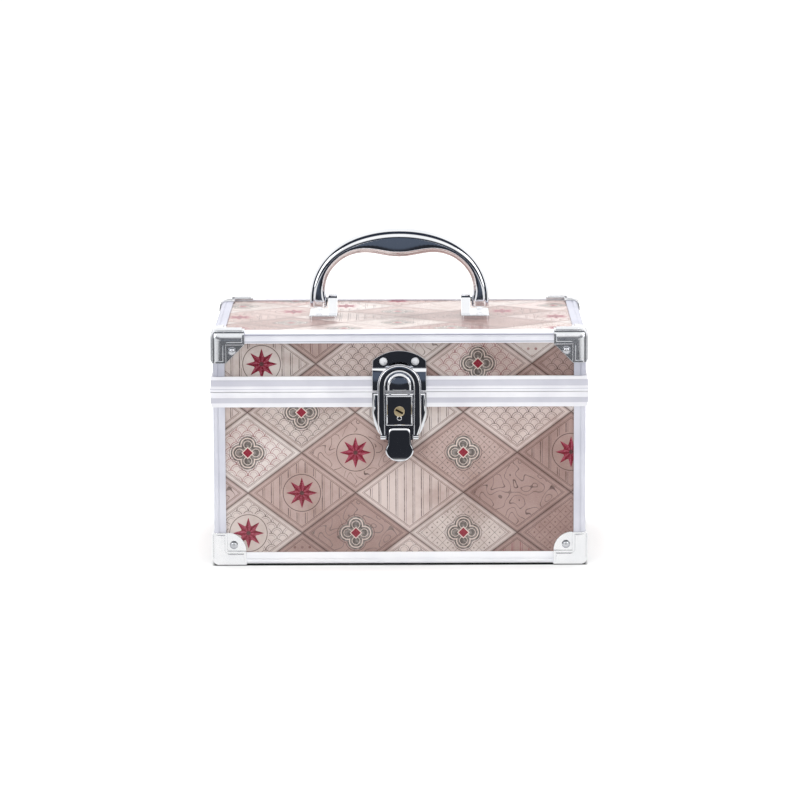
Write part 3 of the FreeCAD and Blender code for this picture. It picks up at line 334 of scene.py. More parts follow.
@Effect({"Point": VECTOR}, {"Mark": NUMBER})
def scales(g: Graph, take: Take) -> Take:
    """Rows of overlapping half rounds, each an arc with a smaller one within it.

    Args:
        g: Where the nodes go.
        take: The place.

    Returns:
        Where an arc is.
    """
    wide, high = 7.0, 3.5
    arc, inner_arc = (3.3, 0.22), (2.2, 0.12)
    across, up = g.rows(take["Point"], wide, high)
    out = g.radius(g.math("MULTIPLY", across, wide), g.math("MULTIPLY", up, high))
    return {"Mark": g.lines(out, arc, inner_arc)}


@Effect({"Point": VECTOR}, {"Mark": NUMBER})
def meander(g: Graph, take: Take) -> Take:
    """Thin lines that wander like quilting: the level lines of a cloud.

    Args:
        g: Where the nodes go.
        take: The place.

    Returns:
        Where a line is.
    """
    scale, levels, edge = 0.075, 9.0, (0.075, 0.045)
    level = g.math("MULTIPLY", g.noise(take["Point"], scale, 1.0), levels)
    return {"Mark": g.fade(g.math("ABSOLUTE", g.off_middle(level)), *edge)}


@Effect({"Color": COLOUR, "Point": VECTOR, "Radius": NUMBER, "Show": NUMBER}, {"Color": COLOUR})
def star(g: Graph, take: Take) -> Take:
    """An eight-pointed star of two reds within a thin ring.

    Args:
        g: Where the nodes go.
        take: The cloth's colour, the place, the star's radius and whether it shows.

    Returns:
        The colour with the star laid over it.
    """
    points, waist, soft = 8, 0.5, 0.02
    ring, heart, strength = (1.2, 0.025), 0.14, 0.8
    reds, outline = (("6e1428", "8f2a3e"), ("8c2c40", "b0566a")), "4a3a38"
    cloud, contrast = (0.6, 3.0, 0.7), (0.3, 0.75)
    x, y, _ = g.split(take["Point"])
    out = g.math("DIVIDE", g.radius(x, y), take["Radius"])
    turn = g.math("FRACT", g.math("MULTIPLY", g.math("ARCTAN2", y, x), points / math.tau))
    fold = g.math("ABSOLUTE", g.math("SUBTRACT", g.math("MULTIPLY", turn, 2.0), 1.0))
    reach = g.math("ADD", g.math("MULTIPLY", g.math("MULTIPLY", fold, fold), 1 - waist), waist)
    body = g.math("MULTIPLY", g.fade(g.math("SUBTRACT", out, reach), soft, -soft), take["Show"])
    worn = g.fade(g.noise(take["Point"], *cloud), *contrast)
    halves = [g.mix(worn, ink(dark), ink(light)) for dark, light in reds]
    colour = g.mix(body, take["Color"], g.mix(g.math("GREATER_THAN", turn, 0.5), *halves))
    lines = g.math("MAXIMUM", g.near(out, *ring), g.math("LESS_THAN", out, heart))
    lines = g.math("MULTIPLY", g.math("MULTIPLY", lines, take["Show"]), strength)
    return {"Color": g.mix(lines, colour, ink(outline))}


@Effect({"Color": COLOUR, "Point": VECTOR, "Show": NUMBER}, {"Color": COLOUR})
def quatrefoil(g: Graph, take: Take) -> Take:
    """A four-lobed medallion in greys with a red heart.

    Args:
        g: Where the nodes go.
        take: The cloth's colour, the place and whether the medallion shows.

    Returns:
        The colour with the medallion laid over it.
    """
    lobe, apart, soft = 5.4, 5.0, 0.1
    ring, inner_ring = (-1.3, 0.28), (-3.0, 0.16)
    heart, red_heart = (4.0, 3.7), (3.2, 2.9)
    line, strength = (0.9, 0.16), 0.8
    greys, pale, red, outline = ("605a57", "8f8884"), "dccdc4", "8e2a3a", "4a3a38"
    cloud, contrast = (0.4, 2.0), (0.35, 0.65)
    x, y, _ = g.split(take["Point"])
    wide, high = (g.math("ABSOLUTE", part) for part in (x, y))
    reach = g.math("MINIMUM", g.radius(g.math("SUBTRACT", wide, apart), y),
                   g.radius(x, g.math("SUBTRACT", high, apart)))
    past = g.math("SUBTRACT", reach, lobe)
    wash = g.mix(g.fade(g.noise(take["Point"], *cloud), *contrast), *(ink(grey) for grey in greys))
    wash = g.mix(g.lines(past, ring, inner_ring), wash, ink(pale))
    middle = g.math("ADD", wide, high)
    wash = g.mix(g.fade(middle, *heart), wash, ink(pale))
    wash = g.mix(g.fade(middle, *red_heart), wash, ink(red))
    colour = g.mix(g.math("MULTIPLY", g.fade(past, soft, -soft), take["Show"]), take["Color"], wash)
    edge = g.math("MULTIPLY", g.near(past, *line), g.math("MULTIPLY", take["Show"], strength))
    return {"Color": g.mix(edge, colour, ink(outline))}


@Effect({"Point": VECTOR}, {"Color": COLOUR})
def patchwork(g: Graph, take: Take) -> Take:
    """Diamond patches of aged cloth, each with its tone, its small pattern and now and then a larger motif.

    Args:
        g: Where the nodes go.
        take: The place.

    Returns:
        The colour.
    """
    wide, high = 66.0, 50.0
    cloths = ("ccc0bb", "b7a19b", "d5ccc8", "a38a84", "c0aeaa", "cfc0bb")
    threads = ("4a3a38", "6b4a45", "4a3a38", "8a4a50", "5d5653")
    patterns = (stripes, dots, trellis, scales, meander)
    star_share, lobed_share, star_radius, star_ground = 0.34, 0.7, 9.6, 12.6
    piping, second_piping, piping_strength, piping_ink = (2.4, 0.14), (3.1, 0.24), 0.6, "5a403b"
    wear_cloud, wear, plain_hem = (0.2, 3.0, 0.6), (0.3, 0.7, 0.45, 0.85), (3.4, 3.7)
    fold, fold_ink = (1.6, 0.0, 0.0, 0.55), "6d514a"
    seam, seam_ink = (0.25, 0.1, 0.0, 0.8), "3d2f2c"
    age_cloud, age, age_ink = (0.022, 5.0, 0.62), (0.35, 0.75, 0.0, 0.6), "a98b80"
    x, y, _ = g.split(take["Point"])
    across, up = g.math("DIVIDE", x, wide), g.math("DIVIDE", y, high)
    slants = [g.math(sign, across, up) for sign in ("ADD", "SUBTRACT")]
    cells = [g.math("FLOOR", slant) for slant in slants]
    offs = [g.math("ABSOLUTE", g.off_middle(slant)) for slant in slants]
    hem = g.math("MULTIPLY", g.math("SUBTRACT", 0.5, g.math("MAXIMUM", *offs)),
                 wide * high / math.hypot(wide, high))
    middle_x = g.math("MULTIPLY", g.math("ADD", g.math("ADD", *cells), 1.0), wide / 2)
    middle_y = g.math("MULTIPLY", g.math("SUBTRACT", *cells), high / 2)
    spot = g.join(g.math("SUBTRACT", x, middle_x), g.math("SUBTRACT", y, middle_y))
    draw = g.put("TexWhiteNoise", g.join(*cells), noise_dimensions="2D")
    tone, kind, motif = g.put("SeparateColor", draw.outputs["Color"]).outputs
    cloth = g.steps(tone, cloths)
    chosen = g.math("FLOOR", g.math("MULTIPLY", kind, len(patterns) - 0.001))
    marks: Any = 0.0
    for i, pattern in enumerate(patterns):
        mark = g.place(pattern, Point=spot).outputs[0]
        marks = g.math("ADD", marks, g.math("MULTIPLY", g.near(chosen, float(i), 0.5), mark))
    worn = g.fade(g.noise(take["Point"], *wear_cloud), *wear)
    marks = g.math("MULTIPLY", g.math("MULTIPLY", marks, worn), g.fade(hem, *plain_hem))
    colour = g.mix(marks, cloth, g.steps(motif, threads))
    sewn = g.math("MULTIPLY", g.lines(hem, piping, second_piping), piping_strength)
    colour = g.mix(sewn, colour, ink(piping_ink))
    starry = g.math("LESS_THAN", motif, star_share)
    ground = g.mix(g.math("LESS_THAN", g.radius(*g.split(spot)[:2]), star_ground), colour, cloth)
    colour = g.mix(starry, colour, ground)
    colour = g.place(star, Color=colour, Point=spot, Radius=star_radius, Show=starry).outputs[0]
    lobed = g.math("GREATER_THAN", motif, lobed_share)
    colour = g.place(quatrefoil, Color=colour, Point=spot, Show=lobed).outputs[0]
    colour = g.mix(g.fade(hem, *fold), colour, ink(fold_ink), "MULTIPLY")
    colour = g.mix(g.fade(hem, *seam), colour, ink(seam_ink))
    aged = g.fade(g.noise(take["Point"], *age_cloud), *age)
    return {"Color": g.mix(aged, colour, ink(age_ink), "MULTIPLY")}


def blank(name: str) -> Tuple[Material, Graph, bpy.types.Node, Socket]:
    """A new material.

    Args:
        name: Its name.

    Returns:
        The material, its graph, its shader and its Object coordinates.
    """
    material = bpy.data.materials.new(name)
    material.use_nodes = True
    g = Graph(material.node_tree)
    return material, g, g.tree.nodes["Principled BSDF"], g.put("TexCoord").outputs["Object"]


class Axis(Enum):
    """The axis that a finish's bands of painted shade lie across."""

    DEPTH = 1
    HEIGHT = 2


class Plane(Enum):
    """Which way a board faces, by the two axes that its print runs along."""

    FRONT = (0, 2)
    SIDE = (1, 2)
    LEVEL = (0, 1)


@dataclass(frozen=True)
class Print:
    """The laminated print of the boards: a patchwork of diamonds, each board cut from its own place."""

    name: str
    plane: Plane
    shift: Span
    tone: str = "ffffff"
    FIBRE_INK: ClassVar[str] = "8d6f66"
    FIBRE_CLOUD: ClassVar[Cloud] = (1.6, 3.0, 0.7)
    FIBRE_STAIN: ClassVar[Step] = (0.3, 0.7, 0.0, 0.07)
    FIBRE_GLOSS: ClassVar[Step] = (0.2, 0.8, 0.22, 0.3)

    def material(self) -> Material:
        """The print as it lies on one board.

        Returns:
            The material.
        """
        material, g, shader, here = blank(self.name)
        parts = g.split(g.put("VectorMath", here, (1 / MM,) * 3, operation="MULTIPLY").outputs["Vector"])
        across, up = (parts[i] for i in self.plane.value)
        point = g.join(g.math("ADD", across, self.shift[0]), g.math("ADD", up, self.shift[1]))
        colour = g.place(patchwork, Point=point).outputs[0]
        fibre = g.noise(point, *self.FIBRE_CLOUD)
        colour = g.mix(g.fade(fibre, *self.FIBRE_STAIN), colour, ink(self.FIBRE_INK), "MULTIPLY")
        g.feed(shader.inputs["Base Color"], g.mix(1.0, colour, ink(self.tone), "MULTIPLY"))
        g.feed(shader.inputs["Roughness"], g.fade(fibre, *self.FIBRE_GLOSS))
        return material


@dataclass(frozen=True)
class Finish:
    """A metal, cloth or plastic with a clouded tone, uneven polish, bands of painted shade and a fine relief.
    """

    name: str
    dark: str
    light: str
    polish: Span
    cloud: float
    metallic: float = 1.0
    relief: float = 0.0
    grain: float = 90.0
    bands: Tuple[Span, ...] = ()
    band_tone: str = "dcdce2"
    band_axis: Axis = Axis.HEIGHT
    BAND_EDGE: ClassVar[float] = 0.15
    RELIEF_HIGH: ClassVar[float] = 0.2

    def material(self) -> Material:
        """The finish as a material.

        Returns:
            The material.
        """
        material, g, shader, here = blank(self.name)
        low, high = self.polish
        polish = g.place(smudge, Point=here, Scale=self.cloud, Dark=ink(self.dark), Light=ink(self.light),
                         Low=low, High=high)
        g.feed(shader.inputs["Base Color"], self.paint_shade_bands(g, here, polish.outputs["Color"]))
        g.feed(shader.inputs["Roughness"], polish.outputs["Roughness"])
        shader.inputs["Metallic"].default_value = self.metallic
        bump = g.put("Bump")
        bump.inputs["Strength"].default_value = self.relief
        bump.inputs["Distance"].default_value = self.RELIEF_HIGH * MM
        g.feed(bump.inputs["Height"], g.noise(here, self.grain))
        g.feed(shader.inputs["Normal"], bump.outputs[0])
        return material

    def paint_shade_bands(self, g: Graph, here: Socket, colour: Socket) -> Socket:
        """Paint shade on the bands.

        Args:
            g: Where the nodes go.
            here: The place.
            colour: The colour without them.

        Returns:
            The colour with them.
        """
        soft = self.BAND_EDGE
        for low, high in self.bands:
            along = g.math("DIVIDE", g.split(here)[self.band_axis.value], MM)
            start, end = g.fade(along, low - soft, low + soft), g.fade(along, high + soft, high - soft)
            # Each band multiplies the colour by a darker tone: painted shade.
            colour = g.mix(g.math("MULTIPLY", start, end), colour, ink(self.band_tone), "MULTIPLY")
        return colour


def anodised(name: str, dark: str, light: str, **bands: Any) -> Finish:
    """Anodised aluminium in one tone, with or without bands of painted shade."""
    return Finish(name, dark, light, polish=(0.36, 0.46), cloud=40.0, metallic=0.12, **bands)


# Its two bands are thin grey lines of painted shade along the lid's front and back edges.
ALUMINIUM = anodised("aluminium", "d6d7e0", "e2e3ea", bands=((138.55, 139.05), (142.6, 143.4)),
                     band_tone="a9aab4")
# A darker copy of the aluminium for the lid's side edges and corner posts: painted shade.
LID_ALUMINIUM_PAINTED_SHADE = anodised("lid aluminium with painted shade", "aeafbc", "babbc7")
# A lighter copy of the aluminium for the body's edges: painted light.
BODY_EDGE_ALUMINIUM_PAINTED_LIGHT = anodised("bright aluminium", "eeeff4", "f6f6f9")
# A darker copy of the aluminium for the body's corner posts: painted shade.
BODY_POST_ALUMINIUM_PAINTED_SHADE = anodised("satin aluminium", "c6c7d2", "d1d2db")
# The rims' copy of the aluminium, lighter than the lid edges' one, with three bands of painted shade.
RIM_ALUMINIUM_PAINTED_SHADE = anodised("rim aluminium with painted shade", "dfdfe5", "eaeaee",
                 bands=((101.2, 104.4), (109.6, 110.1), (111.6, 115.4)))
CHROME = Finish("fittings chrome", "e6e8ec", "f2f3f6", (0.03, 0.07), 30.0)
STAMPED = Finish("stamped chrome", "e0e2e6", "eeeff2", (0.16, 0.21), 60.0, 0.9)
# A lighter copy of the cap chrome for the body's caps: painted light.
BODY_CAP_CHROME_PAINTED_LIGHT = Finish("pressed chrome", "f3f4f6", "fbfbfc", (0.16, 0.21), 60.0, 0.85)
NICKEL = Finish("nickelled rivet", "c6c8cd", "dadbdf", (0.14, 0.2), 90.0, 0.92)
ZINC = Finish("bright zinc", "d4d6da", "e6e7ea", (0.32, 0.42), 90.0, 0.4)
STEEL = Finish("plain steel", "a9abae", "c2c4c7", (0.24, 0.34), 80.0)
# Its band, from 0.7 mm behind the plug's front, is painted shade in the keyway.
BRASS = Finish("turned brass", "9c8c6c", "b8aa8a", (0.3, 0.42), 200.0, 0.35,
               bands=((-83.5, -80.0),), band_tone="5a5248", band_axis=Axis.DEPTH)
MIRROR = Finish("silvered glass", "e4e8e8", "eef1f1", (0.0, 0.012), 8.0)
FLOCK = Finish("flocked lining", "171517", "242124", (0.85, 0.95), 90.0, 0.0, relief=0.5, grain=1800.0)
PLASTIC = Finish("grained black plastic", "161617", "202022", (0.42, 0.55), 140.0, 0.0,
                 relief=0.35, grain=1200.0)


def ahead(at: Vector, way: Vector) -> bool:
    """Faces that look to the front."""
    return way.y < -FACING


def front_at(y: float) -> Test:
    """What lies in a front plane."""
    return lambda at, way: at.y < y + TOUCH


def level_at(z: float) -> Test:
    """What lies at a height."""
    return lambda at, way: abs(at.z - z) < TOUCH


def through(test: Test) -> Test:
    """The edges that run from front to back where a test holds."""
    return lambda at, way: abs(way.y) > STRAIGHT and test(at, way)


def dome(high: float, count: int) -> List[Span]:
    """The rings of a shallow round dome.

    Args:
        high: How far the dome rises.
        count: How many rings it has.

    Returns:
        The rise and the narrowing of each ring.
    """
    shrink = 0.9
    reaches = [1 - shrink * i / count for i in range(count + 1)]
    return [(high * (a * a - b * b), b / a) for a, b in zip(reaches, reaches[1:])]


@dataclass(frozen=True)
class Station:
    """One section of a swept bar: its middle, the way out of the bend, its size and its rounded sides."""

    at: Vector
    out: Vector
    thick: float
    deep: float
    rounds: Tuple[Tuple[Vector, float], ...]

    def along(self) -> Vector:
        """The bar's own direction here."""
        return self.out.cross(Vector((0, 1, 0)))


class Bench:
    """A piece on the bench: a primitive shaped by edit-mode moves, in millimetres."""

    PLAY = 1e-4

    def __init__(self, name: str) -> None:
        """Take the object that was just made."""
        self.piece = bpy.context.active_object
        self.piece.name = self.piece.data.name = name

    @classmethod
    def slab(cls, name: str, low: Point, high: Point) -> "Bench":
        """A block.

        Args:
            name: The piece's name.
            low: Its lowest corner.
            high: Its highest corner.

        Returns:
            The block.
        """
        bpy.ops.object.select_all(action="DESELECT")
        near, far = Vector(low) * MM, Vector(high) * MM
        bpy.ops.mesh.primitive_cube_add(size=1.0, location=(near + far) / 2, scale=far - near)
        bpy.ops.object.transform_apply(location=True, rotation=True, scale=True)
        return cls(name)

    @classmethod
    def rod(cls, name: str, start: Point, end: Point, radius: float, sides: int = 48) -> "Bench":
        """A round bar.

        Args:
            name: The piece's name.
            start: The middle of one end.
            end: The middle of the other end.
            radius: The bar's radius.
            sides: How many facets it has.

        Returns:
            The bar.
        """
        bpy.ops.object.select_all(action="DESELECT")
        near, far = Vector(start) * MM, Vector(end) * MM
        turn = (far - near).to_track_quat("Z", "Y").to_euler()
        bpy.ops.mesh.primitive_cylinder_add(
            vertices=sides, radius=radius * MM, depth=(far - near).length,
            location=(near + far) / 2, rotation=turn,
        )
        bpy.ops.object.transform_apply(location=True, rotation=True, scale=True)
        return cls(name)

    @classmethod
    def sweep(cls, name: str, stations: Sequence[Station], facets: int) -> "Bench":
        """A bar bridged through its sections.

        Args:
            name: The piece's name.
            stations: The sections, in order.
            facets: Facets of each rounded corner of a section.

        Returns:
            The bar, closed at both ends.
        """
        bpy.ops.object.select_all(action="DESELECT")
        bpy.ops.mesh.primitive_plane_add(size=MM)
        bench = cls(name)
        bpy.ops.object.mode_set(mode="EDIT")
        bpy.ops.mesh.delete(type="VERT")
        for station in stations:
            bench.add_section(station, facets)
        bpy.ops.mesh.reveal(select=True)
        bpy.ops.mesh.select_mode(type="EDGE")
        bpy.ops.mesh.bridge_edge_loops(type="SINGLE")
        for station in (stations[0], stations[-1]):
            bench.pick("VERT", lambda at, way, s=station: (at - s.at).length < s.thick + s.deep
                       and abs((at - s.at).dot(s.along())) < cls.PLAY)
            bpy.ops.mesh.edge_face_add()
        bpy.ops.object.mode_set(mode="OBJECT")
        return bench.outward()

    def add_section(self, station: Station, facets: int) -> None:
        """Draw one section of a swept bar, and put it out of the way.

        Args:
            station: The section.
            facets: Facets of each rounded corner.
        """
        bpy.ops.mesh.primitive_plane_add(
            size=station.deep * MM, location=station.at * MM,
            rotation=(0, math.atan2(-station.out.z, station.out.x), 0),
        )
        for side in (station.out, -station.out):
            self.pick("VERT", lambda at, way, s=side: (at - station.at).dot(s) > 0)
            bpy.ops.transform.translate(value=side * ((station.thick - station.deep) / 2 * MM))
        corners = [Vector(v.co) / MM for v in bmesh.from_edit_mesh(self.piece.data).verts if not v.hide]
        for side, width in station.rounds:
            wanted = [c for c in corners if (c - station.at).dot(side) > 0]
            self.pick("VERT", lambda at, way, w=wanted: any((at - c).length < self.PLAY for c in w))
            bpy.ops.mesh.bevel(affect="VERTICES", offset=width * MM, segments=facets)
        bpy.ops.mesh.select_all(action="SELECT")
        bpy.ops.mesh.delete(type="ONLY_FACE")
        bpy.ops.mesh.select_all(action="SELECT")
        bpy.ops.mesh.hide(unselected=False)

    def hold(self) -> None:
        """Make this piece the only selected one."""
        bpy.ops.object.select_all(action="DESELECT")
        self.piece.select_set(True)
        bpy.context.view_layer.objects.active = self.piece

    def pick(self, kind: str, test: Test) -> None:
        """Select faces, edges or corners in edit mode.

        Args:
            kind: FACE, EDGE or VERT.
            test: Says from a middle in millimetres, and a normal or an edge's direction, what is wanted.
        """
        bpy.ops.mesh.select_mode(type=kind)
        bpy.ops.mesh.select_all(action="DESELECT")
        mesh = bmesh.from_edit_mesh(self.piece.data)
        mesh.normal_update()
        if kind == "FACE":
            found = [(f, f.calc_center_median(), f.normal) for f in mesh.faces]
        elif kind == "EDGE":
            ends = [(e, e.verts[0].co, e.verts[1].co) for e in mesh.edges]
            found = [(e, (a + b) / 2, (b - a).normalized()) for e, a, b in ends]
        else:
            found = [(v, v.co, v.normal) for v in mesh.verts]
        for item, at, way in found:
            if not item.hide and test(at / MM, way):
                item.select_set(True)
        mesh.select_flush_mode()
        bmesh.update_edit_mesh(self.piece.data)

    def edit(self, move: Callable[[], Any], kind: str = "VERT", test: Optional[Test] = None) -> "Bench":
        """Work on the piece in edit mode.

        Args:
            move: What is done with what is selected.
            kind: FACE, EDGE or VERT.
            test: Says what is selected, as in pick; without it, all is.

        Returns:
            This piece.
        """
        self.hold()
        bpy.ops.object.mode_set(mode="EDIT")
        if test:
            self.pick(kind, test)
        else:
            bpy.ops.mesh.select_all(action="SELECT")
        move()
        bpy.ops.object.mode_set(mode="OBJECT")
        return self

    def bevel(self, test: Test, width: float, facets: int = 3) -> "Bench":
        """Round the edges that a test picks."""
        return self.edit(
            lambda: bpy.ops.mesh.bevel(affect="EDGES", offset=width * MM, segments=facets), "EDGE", test)

    def inset(self, test: Test, width: float, rise: float = 0.0, drift: Point = (0.0, 0.0, 0.0)) -> "Bench":
        """Inset faces, raise or sink what is inside, and move it aside.

        Args:
            test: Picks the faces.
            width: How far the inset goes in.
            rise: How far the inside rises.
            drift: How far it moves aside.

        Returns:
            This piece.
        """
        def move() -> None:
            """Inset, then move aside."""
            bpy.ops.mesh.inset(thickness=width * MM, depth=rise * MM)
            bpy.ops.transform.translate(value=Vector(drift) * MM)

        return self.edit(move, "FACE", test)

    def crown(self, test: Test, about: Point, rings: Sequence[Span]) -> "Bench":
        """Swell a front face into a dome.

        Args:
            test: Picks the face.
            about: The middle that each ring narrows to.
            rings: How far each ring rises, and how much it narrows.

        Returns:
            This piece.
        """
        def move() -> None:
            """Draw out and narrow one ring after another."""
            for rise, narrow in rings:
                bpy.ops.mesh.extrude_region_move(TRANSFORM_OT_translate={"value": (0, -rise * MM, 0)})
                bpy.ops.transform.resize(value=(narrow, 1, narrow), center_override=Vector(about) * MM)

        return self.edit(move, "FACE", test)

    def shift(self, test: Test, by: Point) -> "Bench":
        """Move the corners that a test picks."""
        return self.edit(lambda: bpy.ops.transform.translate(value=Vector(by) * MM), "VERT", test)

    def stretch(self, test: Test, by: Point, about: Point) -> "Bench":
        """Widen or narrow the corners that a test picks."""
        return self.edit(
            lambda: bpy.ops.transform.resize(value=by, center_override=Vector(about) * MM), "VERT", test)

    def score(self, z: float) -> "Bench":
        """Cut a line round the piece at a height."""
        return self.edit(lambda: bpy.ops.mesh.bisect(plane_co=Vector((0, 0, z)) * MM, plane_no=(0, 0, 1)))

    def merge(self, gap: float) -> "Bench":
        """Merge corners that lie closer than a gap."""
        return self.edit(lambda: bpy.ops.mesh.remove_doubles(threshold=gap * MM))

    def whole(self) -> "Bench":
        """Take out the lines within flat faces."""
        return self.edit(lambda: bpy.ops.mesh.dissolve_limited(angle_limit=math.radians(1)))

    def outward(self) -> "Bench":
        """Turn all faces outwards."""
        return self.edit(lambda: bpy.ops.mesh.normals_make_consistent(inside=False))

    def combine(self, other: "Bench", operation: str) -> "Bench":
        """Fuse, trim or bore this piece with another one, which is used up.

        Args:
            other: The other piece.
            operation: UNION, INTERSECT or DIFFERENCE.

        Returns:
            This piece.
        """
        self.hold()
        tool = self.piece.modifiers.new("combine", "BOOLEAN")
        tool.operation = operation
        tool.solver = "EXACT"
        tool.object = other.piece
        bpy.ops.object.modifier_apply(modifier=tool.name)
        bpy.data.objects.remove(other.piece)
        return self

    def bore(self, start: Point, end: Point, radius: float, sides: int = 48) -> "Bench":
        """Bore a round hole between two points."""
        return self.combine(Bench.rod("bore", start, end, radius, sides), "DIFFERENCE")

    def cut(self, low: Point, high: Point) -> "Bench":
        """Cut a block out of the piece."""
        return self.combine(Bench.slab("cutter", low, high), "DIFFERENCE")

    def join(self, *others: "Bench") -> "Bench":
        """Put other pieces into this one as they are.

        Args:
            *others: The other pieces, which are used up.

        Returns:
            This piece.
        """
        self.hold()
        for other in others:
            other.piece.select_set(True)
        bpy.ops.object.join()
        return self

    def copied(self, name: str, matrix: Matrix) -> "Bench":
        """A copy of the piece at another place, with its own mesh.

        Args:
            name: The copy's name.
            matrix: Where it goes, in metres; it may mirror.

        Returns:
            The copy.
        """
        self.hold()
        bpy.ops.object.duplicate(linked=False)
        twin = Bench(name)
        twin.piece.data.transform(matrix)
        return twin.outward()

    def soften(self, degrees: float = 40.0) -> "Bench":
        """Shade the round faces smooth.

        Args:
            degrees: The angle from which an edge stays sharp.

        Returns:
            This piece.
        """
        self.hold()
        bpy.ops.object.shade_smooth_by_angle(angle=math.radians(degrees))
        even = self.piece.modifiers.new("flat faces", "WEIGHTED_NORMAL")
        even.keep_sharp = True
        bpy.ops.object.modifier_apply(modifier=even.name)
        return self

    def settle(self, body: str, slot: str, material: Material, *nodes: str) -> None:
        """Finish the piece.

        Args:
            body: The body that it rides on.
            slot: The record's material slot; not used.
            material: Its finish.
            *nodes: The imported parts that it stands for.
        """
        self.piece.data.materials.clear()
        self.piece.data.materials.append(material)
        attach(self.piece, body)
        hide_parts(*nodes)
        log.info("%s: %d faces", self.piece.name, len(self.piece.data.polygons))


class Node:
    """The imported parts: smooth shading and finishes for them."""

    SMOOTH_ANGLE = math.radians(32)
    FLAT_ANGLE = math.radians(1)
    WELD = 2e-6

    @classmethod
    def dress(cls, names: Iterable[str], material: Material, smooth: bool = True, edge: float = 0.0) -> None:
        """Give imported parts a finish.

        Args:
            names: The parts.
            material: Their finish.
            smooth: Whether their round faces are shaded smooth.
            edge: How far their sharp edges are rounded, in millimetres.
        """
        for name in names:
            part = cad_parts[name]
            part.data.materials.clear()
            part.data.materials.append(material)
            if edge:
                cls.round_edges(part, edge)
            elif smooth:
                cls.soften(part)
            log.info("%s: %s", name, material.name)

    @classmethod
    def weld(cls, part: bpy.types.Object) -> None:
        """Shade a part smooth and join its loose faces, by a modifier alone."""
        part.data.polygons.foreach_set("use_smooth", [True] * len(part.data.polygons))
        part.modifiers.new("weld", "WELD").merge_threshold = cls.WELD

    @classmethod
    def round_edges(cls, part: bpy.types.Object, width: float) -> None:
        """Round a part's sharp edges, by modifiers alone.

        Args:
            part: The part.
            width: How far, in millimetres.
        """
        cls.weld(part)
        flat = part.modifiers.new("whole faces", "DECIMATE")
        flat.decimate_type = "DISSOLVE"
        flat.angle_limit = cls.FLAT_ANGLE
        bevel = part.modifiers.new("round edges", "BEVEL")
        bevel.width = width * MM
        bevel.segments = 2
        bevel.limit_method = "ANGLE"
        bevel.angle_limit = cls.SMOOTH_ANGLE
        bevel.use_clamp_overlap = False
        part.modifiers.new("flat faces", "WEIGHTED_NORMAL").keep_sharp = True

    @classmethod
    def soften(cls, part: bpy.types.Object) -> None:
        """Shade a part's round faces smooth and keep its edges crisp, by modifiers alone."""
        cls.weld(part)
        part.modifiers.new("crisp edges", "EDGE_SPLIT").split_angle = cls.SMOOTH_ANGLE


@dataclass
class Boards:
    """The ten printed boards."""

    # The lid's front board has its whole print darkened by this tone.
    shaded: str = "e4e4e4"

    def dress(self) -> None:
        """Lay the print on each board, each from its own place on the sheet."""
        planes = {"front": Plane.FRONT, "back": Plane.FRONT, "left": Plane.SIDE, "right": Plane.SIDE,
                  "top": Plane.LEVEL, "bottom": Plane.LEVEL}
        shifts = {
            "body_front_panel": (60, 30), "body_back_panel": (170, 60), "body_left_panel": (20, 70),
            "body_right_panel": (130, 20), "body_bottom_panel": (90, 110), "lid_front_panel": (150, 0),
            "lid_back_panel": (20, 40), "lid_left_panel": (200, 90), "lid_right_panel": (70, 120),
            "lid_top_panel": (100, 80),
        }
        for name, shift in shifts.items():
            plane = planes[name.split("_")[1]]
            tone = self.shaded if name == "lid_front_panel" else "ffffff"
            sheet = Print(name.replace("_", " ") + " print", plane, shift, tone)
            Node.dress([name], sheet.material(), smooth=False)


